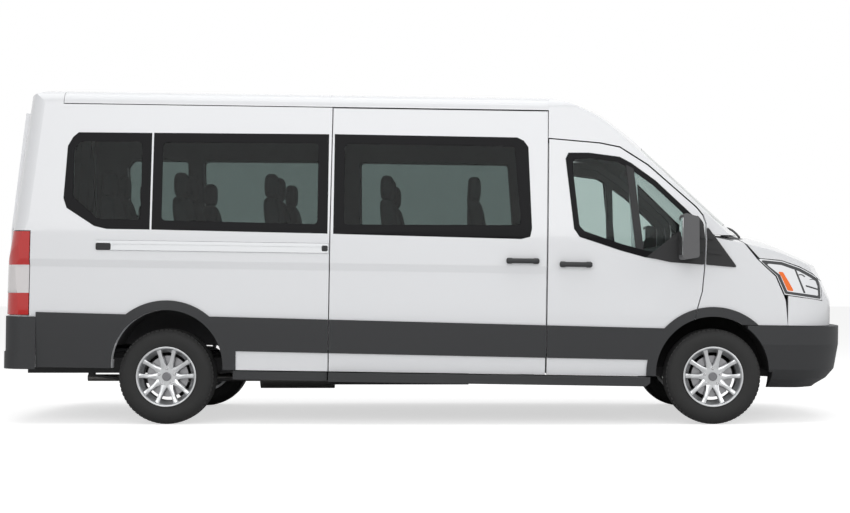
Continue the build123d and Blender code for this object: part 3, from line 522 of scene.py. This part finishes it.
REAR_PANE = [(0.071, 1.391), (0.071, 1.959), (0.639, 1.959), (0.734, 1.391)]
REAR_CLEAR = [(0.118, 1.438), (0.118, 1.912), (0.600, 1.912), (0.686, 1.438)]
for hand, side in SIDES:
    outline = [(hand * y, z) for y, z in REAR_PANE]
    opening = [(hand * y, z) for y, z in REAR_CLEAR]
    skin_piece(
        f"rear_window_band_{side}", outline, tail_surface(-BAND_DEPTH), TAIL_STEPS, f"rear_door_{side}",
        band_black, "tinted_glass", BAND_THICK, holes=[opening], radius=0.038, hole_radius=0.04,
    )


# ---------------------------------------------------------------- cab door window parts
# A rubber-faced post splits the drop glass from the fixed quarter light, and
# a moulded corner piece carries the mirror and runs on over the wing.
corner_trim = grained("mirror corner moulding", (0.012, 0.012, 0.013), 0.6)
CORNER_LOOK = (corner_trim, "cladding")
TRIM_THICK = 0.008
CORNER_LIFT = 0.009
RIB_LIFT = 0.016
POST = [(1.352, 1.806), (1.406, 1.777), (1.476, 1.218), (1.420, 1.232)]
CORNER_ON_DOOR = [
    (1.500, 1.170), (1.846, 1.462), (1.884, 1.414), (1.898, 1.300), (1.893, 1.124), (1.660, 1.138),
]
CORNER_ON_WING = [(1.907, 1.395), (1.912, 1.300), (1.906, 1.124), (2.123, 1.108)]
RIBS = [
    [(1.860, 1.330), (1.892, 1.326), (1.891, 1.300), (1.866, 1.304)],
    [(1.852, 1.236), (1.888, 1.232), (1.886, 1.206), (1.858, 1.210)],
]
WING_RIBS = [
    [(1.916, 1.322), (1.944, 1.318), (1.962, 1.292), (1.916, 1.298)],
    [(1.914, 1.228), (1.996, 1.222), (2.016, 1.192), (1.914, 1.202)],
]
for hand, side in SIDES:
    door = f"front_door_{side}"
    side_piece(f"quarter_post_{side}", POST, hand, door, *CORNER_LOOK, 0.004, 0.012, radius=0.006)
    for label, outline, body, radius in (
        ("mirror_corner", CORNER_ON_DOOR, door, 0.01), ("wing_corner", CORNER_ON_WING, "body", 0.012),
    ):
        name = f"{label}_{side}"
        side_piece(name, outline, hand, body, *CORNER_LOOK, CORNER_LIFT, TRIM_THICK, radius=radius)
    for label, ribs, body in (("mirror_corner", RIBS, door), ("wing_corner", WING_RIBS, "body")):
        for i, rib in enumerate(ribs):
            name = f"{label}_rib_{i}_{side}"
            side_piece(name, rib, hand, body, *CORNER_LOOK, RIB_LIFT, TRIM_THICK, radius=0.008)


# ---------------------------------------------------------------- door handles
# Moulded pull handles over a round dished recess, one on each cab door and
# one on the sliding door.
def rounded_box(name, centre, size, radius, levels=3):
    """Box with rounded edges, given in the level frame."""
    mesh = bpy.data.meshes.new(name)
    work = bmesh.new()
    bmesh.ops.create_cube(work, size=1.0)
    bmesh.ops.scale(work, vec=size, verts=work.verts)
    offset = min(radius, min(size) * 0.49)
    bmesh.ops.bevel(work, geom=work.edges[:], offset=offset, segments=levels, profile=0.5, affect="EDGES")
    bmesh.ops.translate(work, vec=centre, verts=work.verts)
    work.to_mesh(mesh)
    work.free()
    mesh.polygons.foreach_set("use_smooth", [True] * len(mesh.polygons))
    mesh.transform(RAKE)
    return mesh


def joined(name, meshes):
    """One mesh made of several, which are then dropped."""
    work = bmesh.new()
    for mesh in meshes:
        work.from_mesh(mesh)
        bpy.data.meshes.remove(mesh)
    made = bpy.data.meshes.new(name)
    work.to_mesh(made)
    work.free()
    return made


def circle(x, z, radius, count):
    """Points of a circle on the side of the vehicle."""
    angles = [math.tau * i / count for i in range(count)]
    return [(x + radius * math.cos(a), z + radius * math.sin(a)) for a in angles]


# label, hand, x, z, length, dish x, carried by
HANDLES = [
    ("cab_right", -1, 1.013, 1.112, 0.224, 1.027, "front_door_right"),
    ("cab_left", 1, 1.013, 1.112, 0.224, 1.027, "front_door_left"),
    ("sliding", -1, 0.651, 1.131, 0.226, 0.659, "body"),
]
DISH_R = 0.050
FOOT_INSET = 0.024
for label, hand, x, z, length, dish_x, carrier in HANDLES:
    skin_y = hand * body_half(x, z)
    bar = rounded_box("bar", (x, skin_y + hand * 0.034, z), (length, 0.022, 0.034), 0.011)
    feet = [
        rounded_box("foot", (x + dx, skin_y + hand * 0.013, z), (0.042, 0.034, 0.040), 0.010)
        for dx in (-length / 2 + FOOT_INSET, length / 2 - FOOT_INSET)
    ]
    link_object(f"handle_{label}", joined("handle", [bar, *feet]), moulding, carrier)
    name = f"handle_dish_{label}"
    dish = circle(dish_x, z, DISH_R, 32)
    side_piece(name, dish, hand, carrier, outer_white, "body_paint", 0.0015, 0.003, radius=0)


# ---------------------------------------------------------------- sliding door rail
# An extruded channel let into the side panel; the door's rear arm runs in it.
# Its slot is a thin black strip on the skin, painted shade for the dark inside of the channel.
rail_metal = plain("rail metal", (0.55, 0.56, 0.57), 0.32, metal=1.0)
paint("door_rail", rail_metal)
# name, back x, front x, low z, high z, material, lift, thickness, corner radius
RAIL_PIECES = [
    ("rail_slot_shade", -2.150, -0.700, 1.189, 1.206, band_black, 0.002, 0.004, 0.006),
    ("rail_end_cap", -2.263, -2.160, 1.164, 1.212, corner_trim, 0.010, 0.012, 0.012),
    ("rail_front_cap", -0.722, -0.680, 1.176, 1.216, corner_trim, 0.010, 0.012, 0.012),
]
for name, back, front, low, high, material, lift, thickness, radius in RAIL_PIECES:
    outline = [(back, low), (back, high), (front, high), (front, low)]
    side_piece(name, outline, -1, "body", material, "cladding", lift, thickness, radius=radius)


# ---------------------------------------------------------------- headlamps
# Each lamp is one bright moulding that follows the corner of the nose, with a
# dark bezel, dark dividers, two ringed bowls and an amber turn signal behind.
reflector = plain("lamp reflector", (0.82, 0.83, 0.85), 0.12, metal=1.0)
bezel = plain("lamp bezel", (0.06, 0.062, 0.066), 0.3)
# the amber lens has a faint glow: painted light, as the signal is not lit
amber_glow_lens = plain("amber lens", (0.85, 0.16, 0.02), 0.15, glow=0.15)
paint("headlamps", reflector)
LAMP = [
    (2.278, 1.163), (2.430, 1.151), (2.560, 1.109), (2.648, 1.067), (2.696, 1.040), (2.716, 0.998),
    (2.727, 0.900), (2.458, 0.934), (2.400, 1.058),
]
LAMP_INSIDE = [
    (2.316, 1.140), (2.428, 1.130), (2.552, 1.090), (2.636, 1.050), (2.682, 1.024), (2.699, 0.990),
    (2.706, 0.922), (2.472, 0.950), (2.420, 1.062),
]
TURN_SIGNAL = [(2.404, 1.086), (2.440, 1.082), (2.482, 1.016), (2.520, 0.950), (2.474, 0.956), (2.432, 1.046)]
DIVIDERS = {
    "lamp_divider": [(2.520, 1.102), (2.534, 1.096), (2.604, 0.940), (2.590, 0.940)],
    "lamp_divider_low": [(2.604, 0.996), (2.700, 0.972), (2.700, 0.962), (2.608, 0.984)],
}
# x, z and radius of each bowl; the ring's hole is a share of its radius
BOWLS = [(2.566, 1.030, 0.040), (2.650, 1.010, 0.028)]
BOWL_HOLE = 0.82
NOSE_X = 2.918
NOSE_FRONT_R = 2.5
NOSE_CORNER_R = 0.38
NOSE_STEPS = (("u", 0.02), ("v", 0.05))
BEZEL_THICK = 0.003


def nose_corner():
    """Centre (x, y) of the arc that joins the bowed side to the bowed front."""
    side_c = (CAB_START, HALF_WIDTH - SIDE_BOW)
    front_c = (NOSE_X - NOSE_FRONT_R, 0.0)
    r1, r2 = SIDE_BOW - NOSE_CORNER_R, NOSE_FRONT_R - NOSE_CORNER_R
    dx, dy = front_c[0] - side_c[0], front_c[1] - side_c[1]
    d = math.hypot(dx, dy)
    a = (r1 * r1 - r2 * r2 + d * d) / (2 * d)
    h = math.sqrt(r1 * r1 - a * a)
    mx, my = side_c[0] + a * dx / d, side_c[1] + a * dy / d
    return max((mx + h * dy / d, my - h * dx / d), (mx - h * dy / d, my + h * dx / d))


def nose_half(x, z):
    """Half width of the nose on its rounded corner, in the level frame."""
    cx, cy = nose_corner()
    inset = HALF_WIDTH - body_half(CAB_START, z)
    if x < cx:
        return body_half(x, z)
    reach = NOSE_CORNER_R - inset
    off = min(max(x - cx, 0.0), reach * 0.995)
    return cy + math.sqrt(max(reach * reach - off * off, 0.0))


def nose_surface(hand, lift):
    """Places (x, z, depth) on one corner of the nose; lift is outwards."""
    def put(x, z, depth):
        return RAKE @ Vector((x, hand * (nose_half(x, z) + lift - depth), z))
    return put


def nose_piece(name, outline, hand, material, lift, thickness, holes=(), radius=0.01):
    """Plate on one headlamp, with the same rounding on its holes."""
    return skin_piece(
        name, outline, nose_surface(hand, lift), NOSE_STEPS, "body", material, "lamp_lens", thickness,
        holes=holes, radius=radius, hole_radius=radius,
    )


for hand, side in SIDES:
    nose_piece(f"headlamp_bezel_{side}", LAMP, hand, bezel, 0.0012, BEZEL_THICK, holes=[LAMP_INSIDE])
    nose_piece(f"turn_signal_{side}", TURN_SIGNAL, hand, amber_glow_lens, 0.0016, 0.004)
    for label, outline in DIVIDERS.items():
        nose_piece(f"{label}_{side}", outline, hand, bezel, 0.0014, BEZEL_THICK, radius=0.003)
    for i, (x, z, r) in enumerate(BOWLS):
        name = f"lamp_bowl_ring_{i}_{side}"
        ring, hole = circle(x, z, r, 36), circle(x, z, r * BOWL_HOLE, 36)
        nose_piece(name, ring, hand, bezel, 0.0018, BEZEL_THICK, holes=[hole], radius=0.0)


# ---------------------------------------------------------------- tail lamps
# Red polycarbonate moulding wrapped round each rear corner, with a clear
# reversing band across its middle.
lamp_red = plain("red lens", (0.55, 0.012, 0.010), 0.12, coat=0.5)
lamp_white = plain("clear lamp band", (0.75, 0.72, 0.72), 0.15, coat=0.5)
paint("tail_lamps", lamp_red)
BAND_LOW, BAND_HIGH = 0.905, 1.095
BAND_PROUD = 0.0012


def lamp_band(source, name):
    """Closed copy of a node's stretch between two heights, standing just proud of it."""
    work = bmesh.new()
    work.from_mesh(nodes[source].data)
    bmesh.ops.remove_doubles(work, verts=work.verts, dist=1e-5)
    for value, sign in ((BAND_LOW, -1), (BAND_HIGH, 1)):
        everything = work.verts[:] + work.edges[:] + work.faces[:]
        bmesh.ops.bisect_plane(
            work, geom=everything, plane_co=(0, 0, value), plane_no=(0, 0, sign), clear_outer=True,
        )
        rim = [e for e in work.edges if e.is_boundary]
        bmesh.ops.holes_fill(work, edges=rim, sides=0)
    bmesh.ops.recalc_face_normals(work, faces=work.faces)
    work.normal_update()
    for vert in work.verts:
        vert.co += vert.normal * BAND_PROUD
    mesh = bpy.data.meshes.new(name)
    work.to_mesh(mesh)
    work.free()
    return mesh


link_object("tail_lamp_band", lamp_band("tail_lamps", "tail_lamp_band"), lamp_white, "body")


# ---------------------------------------------------------------- wheels
# Cast alloy wheels with ten paired spokes, a plain cap and five exposed
# nuts, over plain brake discs.
alloy = plain("silver lacquer", (0.62, 0.63, 0.64), 0.28, metal=0.85, coat=0.3)
steel = plain("brake disc steel", (0.32, 0.32, 0.33), 0.35, metal=1.0)
nut_steel = plain("wheel nut steel", (0.70, 0.70, 0.71), 0.22, metal=1.0)
# the hub is near black: painted shade for the dark depth of the wheel behind its cap
hub_shade_black = plain("wheel shadow", (0.010, 0.010, 0.011), 0.8)
# corner, hand, axle x
WHEELS = [("fr", -1, 1.975), ("fl", 1, 1.975), ("rr", -1, -1.775), ("rl", 1, -1.775)]
WHEEL_FACE = 0.975
AXLE_Z = 0.328
PAIRS = 5
PAIR_SPREAD = 19
SPOKE_LEAN = 3.0
NUT_CIRCLE = 0.056
# (radius, depth behind the wheel's face), once round the rim's section
RIM_PROFILE = [
    (0.206, 0.004), (0.206, 0.011), (0.196, 0.016), (0.194, 0.036), (0.172, 0.050), (0.172, 0.120),
    (0.194, 0.140), (0.194, 0.200), (0.206, 0.205), (0.206, 0.210), (0.188, 0.210), (0.187, 0.146),
    (0.166, 0.128), (0.166, 0.056), (0.184, 0.030), (0.188, 0.012), (0.196, 0.003), (0.203, 0.002),
]
BRAKE_PROFILE = [(0.070, 0.082), (0.142, 0.082), (0.142, 0.104), (0.070, 0.104)]
# radius, half width, depth of the front and depth of the back along one spoke
SPOKE_ROWS = [
    (0.030, 0.030, 0.042, 0.075), (0.062, 0.024, 0.036, 0.072), (0.100, 0.0135, 0.030, 0.062),
    (0.150, 0.0125, 0.022, 0.052), (0.184, 0.0150, 0.016, 0.046), (0.194, 0.0180, 0.014, 0.046),
]
# share of the half width, and which of the three depths the point takes
SPOKE_SECTION = [
    (1.25, "back"), (1.0, "edge"), (0.55, "front"), (-0.55, "front"), (-1.0, "edge"), (-1.25, "back"),
]
SPOKE_EDGE = 0.004
LEAN_START, LEAN_LENGTH = 0.050, 0.14


def ring_mesh(profile, segments=96):
    """Closed surface of revolution about the wheel axis; profile is (radius, depth behind the face)."""
    work = bmesh.new()
    rows = []
    for i in range(segments):
        a = math.tau * i / segments
        rows.append([work.verts.new((r * math.cos(a), -d, r * math.sin(a))) for r, d in profile])
    n = len(profile)
    for i in range(segments):
        row, after = rows[i], rows[(i + 1) % segments]
        for j in range(n):
            work.faces.new((row[j], row[(j + 1) % n], after[(j + 1) % n], after[j]))
    bmesh.ops.remove_doubles(work, verts=work.verts, dist=1e-6)
    bmesh.ops.recalc_face_normals(work, faces=work.faces)
    mesh = bpy.data.meshes.new("ring")
    work.to_mesh(mesh)
    work.free()
    return mesh


def spoke_mesh(angle, lean):
    """One tapered spoke from the hub to the rim; lean swings its outer end towards its pair."""
    work = bmesh.new()
    made = []
    for r, half, front, back in SPOKE_ROWS:
        depth = {"front": front, "edge": front + SPOKE_EDGE, "back": back}
        swing = angle + math.radians(lean) * min(max((r - LEAN_START) / LEAN_LENGTH, 0), 1)
        out = Vector((math.cos(swing), 0, math.sin(swing)))
        side = Vector((-math.sin(swing), 0, math.cos(swing)))
        made.append([
            work.verts.new(out * r + side * half * share - Vector((0, depth[level], 0)))
            for share, level in SPOKE_SECTION
        ])
    count = len(SPOKE_SECTION)
    for a, b in zip(made, made[1:]):
        for k in range(count):
            work.faces.new((a[k], a[(k + 1) % count], b[(k + 1) % count], b[k]))
    work.faces.new(list(reversed(made[0])))
    work.faces.new(made[-1])
    bmesh.ops.recalc_face_normals(work, faces=work.faces)
    mesh = bpy.data.meshes.new("spoke")
    work.to_mesh(mesh)
    work.free()
    return mesh


def disc_mesh(radius, front, back, segments=48, edge=0.002, centre=(0.0, 0.0)):
    """Closed round plate with a chamfered front edge."""
    axis = 1e-5
    section = [(axis, front), (radius - edge, front), (radius, front + edge), (radius, back), (axis, back)]
    made = ring_mesh(section, segments)
    made.transform(Matrix.Translation((centre[0], 0, centre[1])))
    return made


def to_corner(mesh, hand, x):
    """Wheel meshes are drawn facing the left side; this sets one at a corner, facing outwards."""
    turn = Matrix.Identity(4) if hand > 0 else Matrix.Rotation(math.pi, 4, "Z")
    mesh.transform(Matrix.Translation((x, hand * WHEEL_FACE, AXLE_Z)) @ turn)
    return mesh


def smooth(mesh, angle=32.0):
    """Shades a mesh smooth, but for edges sharper than angle in degrees."""
    mesh.polygons.foreach_set("use_smooth", [True] * len(mesh.polygons))
    mesh.set_sharp_from_angle(angle=math.radians(angle))
    return mesh


for corner, hand, x in WHEELS:
    body = f"wheel_{corner}"
    parts = [ring_mesh(RIM_PROFILE), disc_mesh(0.066, 0.036, 0.080, edge=0.006)]
    nuts = []
    for i in range(PAIRS):
        turn = math.radians(90 + 72 * i)
        for sign in (1, -1):
            parts.append(spoke_mesh(turn + sign * math.radians(PAIR_SPREAD), -sign * SPOKE_LEAN))
        place = (NUT_CIRCLE * math.cos(turn), NUT_CIRCLE * math.sin(turn))
        nuts.append(disc_mesh(0.0105, 0.024, 0.040, 6, 0.003, place))
    cap_grey = plain(f"cap grey {corner}", (0.22, 0.22, 0.23), 0.3, metal=0.6)
    for label, mesh, material, slot in (
        ("wheel_casting", joined("casting", parts), alloy, "alloy"),
        ("wheel_nuts", joined("nuts", nuts), nut_steel, "steel"),
        ("wheel_cap", disc_mesh(0.030, 0.020, 0.040, 48, 0.005), cap_grey, "alloy"),
        ("brake_disc", ring_mesh(BRAKE_PROFILE), steel, "steel"),
        ("wheel_hub", disc_mesh(0.078, 0.078, 0.140), hub_shade_black, "cast_iron"),
    ):
        made = link_object(f"{label}_{corner}", smooth(to_corner(mesh, hand, x)), material, body)
        if label == "wheel_casting":
            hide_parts(f"wheel_{corner}")


# ---------------------------------------------------------------- tyres
# Radial road tyres: a plain sidewall with a rim guard, shoulder blocks and
# four grooves round the tread.
tyre_rubber = grained("tyre rubber", (0.012, 0.012, 0.012), 0.72, size=240.0, depth=0.1)
# (radius, depth behind the outer face) from the bead over the sidewall, then half of the tread
SIDEWALL = [
    (0.1965, 0.024), (0.204, 0.012), (0.212, 0.0085), (0.222, 0.006), (0.236, 0.0025), (0.250, 0.0008),
    (0.262, 0.0003), (0.276, 0.0012), (0.290, 0.0045), (0.296, 0.0065), (0.304, 0.0105), (0.311, 0.0155),
    (0.317, 0.020), (0.3225, 0.030), (0.3255, 0.038),
]
TREAD = [
    (0.3265, 0.044), (0.3270, 0.058), (0.3195, 0.059), (0.3195, 0.066), (0.3274, 0.067), (0.3278, 0.088),
    (0.3200, 0.089), (0.3200, 0.097), (0.3278, 0.098),
]
TYRE_WIDTH = 0.215
BLOCK_INSET = 0.0300
HALF_TYRE = SIDEWALL + TREAD
FULL_TYRE = HALF_TYRE + [(r, TYRE_WIDTH - d) for r, d in reversed(HALF_TYRE)] + [(0.1965, 0.120)]


def shoulder_tree():
    """Blocks set round each shoulder of the tread."""
    tree = bpy.data.node_groups.new("tyre shoulder blocks", "GeometryNodeTree")
    for label, sort, default in (
        ("Blocks", "NodeSocketInt", 64), ("Radius", "NodeSocketFloat", 0.3205),
        ("Block Width", "NodeSocketFloat", 0.030), ("Block Length", "NodeSocketFloat", 0.022),
        ("Block Height", "NodeSocketFloat", 0.012), ("Offset", "NodeSocketFloat", 0.082),
        ("Material", "NodeSocketMaterial", None),
    ):
        made = tree.interface.new_socket(label, in_out="INPUT", socket_type=sort)
        if default is not None:
            made.default_value = default
    for way in ("INPUT", "OUTPUT"):
        tree.interface.new_socket("Geometry", in_out=way, socket_type="NodeSocketGeometry")
    start, end = add_node(tree, "NodeGroupInput"), add_node(tree, "NodeGroupOutput")
    link = tree.links.new

    def maths(operation, first, second=None):
        """Maths node on one or two values, each a socket or a number."""
        made = add_node(tree, "ShaderNodeMath", operation=operation)
        for i, value in enumerate((first, second)):
            if isinstance(value, float):
                made.inputs[i].default_value = value
            elif value is not None:
                link(value, made.inputs[i])
        return made.outputs[0]

    def combine(**values):
        """Vector made of the given sockets, with the others left at zero."""
        made = add_node(tree, "ShaderNodeCombineXYZ")
        for axis, value in values.items():
            link(value, made.inputs[axis])
        return made.outputs[0]

    ask = start.outputs
    block = add_node(tree, "GeometryNodeMeshCube")
    link(combine(X=ask["Block Height"], Y=ask["Block Width"], Z=ask["Block Length"]), block.inputs["Size"])
    points = add_node(tree, "GeometryNodePoints")
    link(ask["Blocks"], points.inputs["Count"])
    index = add_node(tree, "GeometryNodeInputIndex")
    angle = maths("MULTIPLY", maths("DIVIDE", index.outputs[0], ask["Blocks"]), math.tau)
    across = maths("MULTIPLY", maths("COSINE", angle), ask["Radius"])
    up = maths("MULTIPLY", maths("SINE", angle), ask["Radius"])
    link(combine(X=across, Y=ask["Offset"], Z=up), points.inputs["Position"])
    placed = add_node(tree, "GeometryNodeInstanceOnPoints")
    link(points.outputs[0], placed.inputs["Points"])
    link(block.outputs["Mesh"], placed.inputs["Instance"])
    link(combine(Y=maths("MULTIPLY", angle, -1.0)), placed.inputs["Rotation"])
    real = add_node(tree, "GeometryNodeRealizeInstances")
    link(placed.outputs[0], real.inputs[0])
    finish = add_node(tree, "GeometryNodeSetMaterial")
    link(real.outputs[0], finish.inputs["Geometry"])
    link(ask["Material"], finish.inputs["Material"])
    link(finish.outputs[0], end.inputs["Geometry"])
    return tree


def from_tree(tree, **values):
    """Runs a tree on an empty mesh with these inputs and gives back the plain mesh."""
    host = bpy.data.objects.new("host", bpy.data.meshes.new("host"))
    bpy.context.scene.collection.objects.link(host)
    step = host.modifiers.new("made", "NODES")
    step.node_group = tree
    for item in tree.interface.items_tree:
        if item.item_type == "SOCKET" and item.in_out == "INPUT" and item.name in values:
            step[item.identifier] = values[item.name]
    made = bpy.data.meshes.new_from_object(host.evaluated_get(bpy.context.evaluated_depsgraph_get()))
    bpy.data.objects.remove(host)
    return made


SHOULDER = shoulder_tree()
BLOCKS = {"Radius": 0.3185, "Block Width": 0.022, "Material": tyre_rubber}
for corner, hand, x in WHEELS:
    carcass = ring_mesh(FULL_TYRE, 120)
    offsets = (BLOCK_INSET, TYRE_WIDTH - BLOCK_INSET)
    blocks = [from_tree(SHOULDER, Offset=-offset, **BLOCKS) for offset in offsets]
    tyre = smooth(to_corner(joined("tyre", [carcass, *blocks]), hand, x), 40)
    made = link_object(f"road_tyre_{corner}", tyre, tyre_rubber, f"wheel_{corner}")
    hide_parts(f"tyre_{corner}")


# ---------------------------------------------------------------- seats
# High-backed bus seats: a crowned foam cushion, a back that narrows towards
# the shoulders and a separate head rest on two posts, all in dark cloth.
seat_cloth = grained("charcoal seat cloth", (0.030, 0.031, 0.033), 0.88, size=700.0, depth=0.3)
seat_frame = plain("seat frame paint", (0.02, 0.02, 0.021), 0.5)
ROWS = [0.309, -0.304, -1.116, -1.750, -2.251]
ACROSS = [-0.660, -0.225, 0.660]
ROW_WIDTH = 0.420
# x, y and width
CAB_SEATS = [(0.905, 0.430, 0.460), (0.905, -0.230, 0.400), (0.905, -0.650, 0.400)]
PAD_STEPS = 12
PAD_TRIM = 0.006
LEG_STEPS = (0.175, 0.445)
LEG_SIZE = 0.036
LEG_INSET = 0.045
LEG_TOP = 0.882
FLOOR_TOP = 0.562
# legs over a rear wheel well stand on top of it
WELL_TOP = 0.800
REAR_WELL_X = -1.770
REAR_WELL_REACH = 0.470
REAR_WELL_INNER = 0.480


def pad_mesh(centre, size, square, lean=0.0, narrow=0.0):
    """Crowned closed pad.  square sets how boxy it is, lean tips it back, narrow tapers its top."""
    work = bmesh.new()
    bmesh.ops.create_cube(work, size=2.0)
    bmesh.ops.subdivide_edges(work, edges=work.edges[:], cuts=PAD_STEPS, use_grid_fill=True)
    for vert in work.verts:
        reach = sum(abs(c) ** square for c in vert.co) ** (1.0 / square)
        x, y, z = vert.co / reach
        vert.co = Vector((
            centre[0] + x * size[0] / 2 - lean * z * size[2] / 2,
            centre[1] + y * size[1] / 2 * (1 - narrow * (z + 1) / 2),
            centre[2] + z * size[2] / 2,
        ))
    mesh = bpy.data.meshes.new("pad")
    work.to_mesh(mesh)
    work.free()
    return mesh


def seat_meshes(x, y, width):
    """Cushion, back and head rest, then the hard frame under them."""
    soft = [
        pad_mesh((x + 0.320, y, 0.940), (0.450, width - PAD_TRIM, 0.130), 5.0),
        pad_mesh((x + 0.052, y, 1.262), (0.120, width - PAD_TRIM, 0.580), 4.5, lean=0.165, narrow=0.16),
        pad_mesh((x + 0.006, y, 1.634), (0.094, 0.236, 0.176), 3.0),
    ]
    hard = [pad_mesh((x + 0.006, y + side * 0.055, 1.545), (0.012, 0.012, 0.070), 8.0) for side in (-1, 1)]
    for leg_x in (x + LEG_STEPS[0], x + LEG_STEPS[1]):
        for leg_y in (y - width / 2 + LEG_INSET, y + width / 2 - LEG_INSET):
            over_well = abs(leg_x - REAR_WELL_X) < REAR_WELL_REACH and abs(leg_y) > REAR_WELL_INNER
            foot = WELL_TOP if over_well else FLOOR_TOP
            middle = (foot + LEG_TOP) / 2
            hard.append(pad_mesh((leg_x, leg_y, middle), (LEG_SIZE, LEG_SIZE, LEG_TOP - foot), 12.0))
    return soft, hard


PASSENGER_SEATS = [(x, y, ROW_WIDTH) for x in ROWS for y in ACROSS]
for group, places in (("passenger_seats", PASSENGER_SEATS), ("cab_seats", CAB_SEATS)):
    soft, hard = [], []
    for x, y, width in places:
        pads, irons = seat_meshes(x, y, width)
        soft += pads
        hard += irons
    cushions, irons = joined(f"{group}_pads", soft), joined(f"{group}_irons", hard)
    for mesh in (cushions, irons):
        mesh.transform(RAKE)
        smooth(mesh, 50)
    pads = link_object(f"{group}_pads", cushions, seat_cloth, "body")
    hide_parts(group)
    link_object(f"{group}_frames", irons, seat_frame, "body")


# ---------------------------------------------------------------- underbody
# Painted steel frame and cast axles, with a galvanised exhaust and a
# moulded plastic fuel tank.
frame_paint = plain("chassis black", (0.018, 0.018, 0.019), 0.6)
for node in ("chassis_frame", "rear_axle", "front_suspension", "knuckle_left", "knuckle_right"):
    paint(node, frame_paint)
paint("exhaust", plain("exhaust steel", (0.30, 0.29, 0.28), 0.5, metal=0.9))
paint("engine_block", plain("engine casting", (0.16, 0.16, 0.165), 0.6, metal=0.4))
paint("fuel_tank", grained("fuel tank moulding", (0.015, 0.015, 0.016), 0.7))


# ---------------------------------------------------------------- mirror glass
# Flat silvered glass set in the rear face of each mirror pod.
silver = plain("mirror glass", (0.80, 0.82, 0.83), 0.03, metal=1.0)
MIRROR_X = 1.7145
MIRROR_Y = 1.132
MIRROR_Z = 1.310
for hand, side in SIDES:
    place = (MIRROR_X, hand * MIRROR_Y, MIRROR_Z)
    pane = rounded_box(f"mirror_glass_{side}", place, (0.004, 0.176, 0.250), 0.0015)
    link_object(f"mirror_glass_{side}", pane, silver, f"front_door_{side}")


# ---------------------------------------------------------------- studio
# A white floor lit by three large soft boxes and an even white room.
FLOOR_GLOW = 0.62


def studio_floor():
    """Pale floor that the camera sees as white, without lighting the vehicle more."""
    mesh = bpy.data.meshes.new("studio_floor")
    mesh.from_pydata([(-60, -30, 0), (60, -30, 0), (60, 60, 0), (-60, 60, 0)], [], [(0, 1, 2, 3)])
    made = bpy.data.objects.new("studio_floor", mesh)
    bpy.context.scene.collection.objects.link(made)
    material = plain("white floor", (0.86, 0.86, 0.86), 0.9)
    tree = material.node_tree
    path = add_node(tree, "ShaderNodeLightPath")
    glow = add_node(tree, "ShaderNodeMath", operation="MULTIPLY")
    glow.inputs[1].default_value = FLOOR_GLOW
    skin = tree.nodes["Principled BSDF"]
    skin.inputs["Specular IOR Level"].default_value = 0.0
    skin.inputs["Emission Color"].default_value = (1, 1, 1, 1)
    tree.links.new(path.outputs["Is Camera Ray"], glow.inputs[0])
    tree.links.new(glow.outputs[0], skin.inputs["Emission Strength"])
    mesh.materials.append(material)
    made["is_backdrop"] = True


def soft_box(name, place, target, size, power):
    """Rectangular lamp at place that faces target."""
    data = bpy.data.lights.new(name, "AREA")
    data.shape = "RECTANGLE"
    data.size, data.size_y = size
    data.energy = power
    made = bpy.data.objects.new(name, data)
    made.location = place
    made.rotation_euler = (Vector(target) - Vector(place)).to_track_quat("-Z", "Y").to_euler()
    bpy.context.scene.collection.objects.link(made)


studio_floor()
soft_box("soft_box_above", (0.0, -1.5, 8.5), (0, 0, 1), (12.0, 7.0), 340.0)
soft_box("soft_box_side", (-1.0, -11.0, 5.5), (0, 0, 1.1), (12.0, 5.0), 360.0)
soft_box("soft_box_nose", (9.0, -5.0, 4.5), (1.5, 0, 1), (5.0, 4.0), 120.0)

world = bpy.data.worlds.new("white room")
bpy.context.scene.world = world
world.use_nodes = True
room = world.node_tree
room_light = room.nodes["Background"]
path = add_node(room, "ShaderNodeLightPath")
seen = add_node(room, "ShaderNodeMath", operation="MAXIMUM")
seen_all = add_node(room, "ShaderNodeMath", operation="MAXIMUM")
level = add_node(room, "ShaderNodeMapRange")
level.inputs["To Min"].default_value = 0.34
level.inputs["To Max"].default_value = 1.0
room.links.new(path.outputs["Is Camera Ray"], seen.inputs[0])
room.links.new(path.outputs["Is Transmission Ray"], seen.inputs[1])
room.links.new(seen.outputs[0], seen_all.inputs[0])
room.links.new(path.outputs["Is Glossy Ray"], seen_all.inputs[1])
room.links.new(seen_all.outputs[0], level.inputs["Value"])
room.links.new(level.outputs["Result"], room_light.inputs["Strength"])
room_light.inputs["Color"].default_value = (1, 1, 1, 1)


# ---------------------------------------------------------------- camera
# Long lens, just below the door handles, square to the side of the vehicle.
FOCAL_PIXELS = 1621.0
IMAGE_WIDTH = 850.0
SHIFT_X_PIXELS = -38.0
SHIFT_Y_PIXELS = 28.5
SENSOR = 36.0
lens = bpy.data.cameras.new("side_camera")
lens.sensor_width = SENSOR
lens.lens = SENSOR * FOCAL_PIXELS / IMAGE_WIDTH
lens.shift_x = SHIFT_X_PIXELS / IMAGE_WIDTH
lens.shift_y = SHIFT_Y_PIXELS / IMAGE_WIDTH
lens.clip_end = 200.0
camera = bpy.data.objects.new("side_camera", lens)
camera.location = (0.260, -12.075, 0.957)
camera.rotation_euler = (math.radians(90), 0, 0)
bpy.context.scene.collection.objects.link(camera)
bpy.context.scene.camera = camera
bpy.context.scene.view_settings.view_transform = "Standard"

low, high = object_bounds()
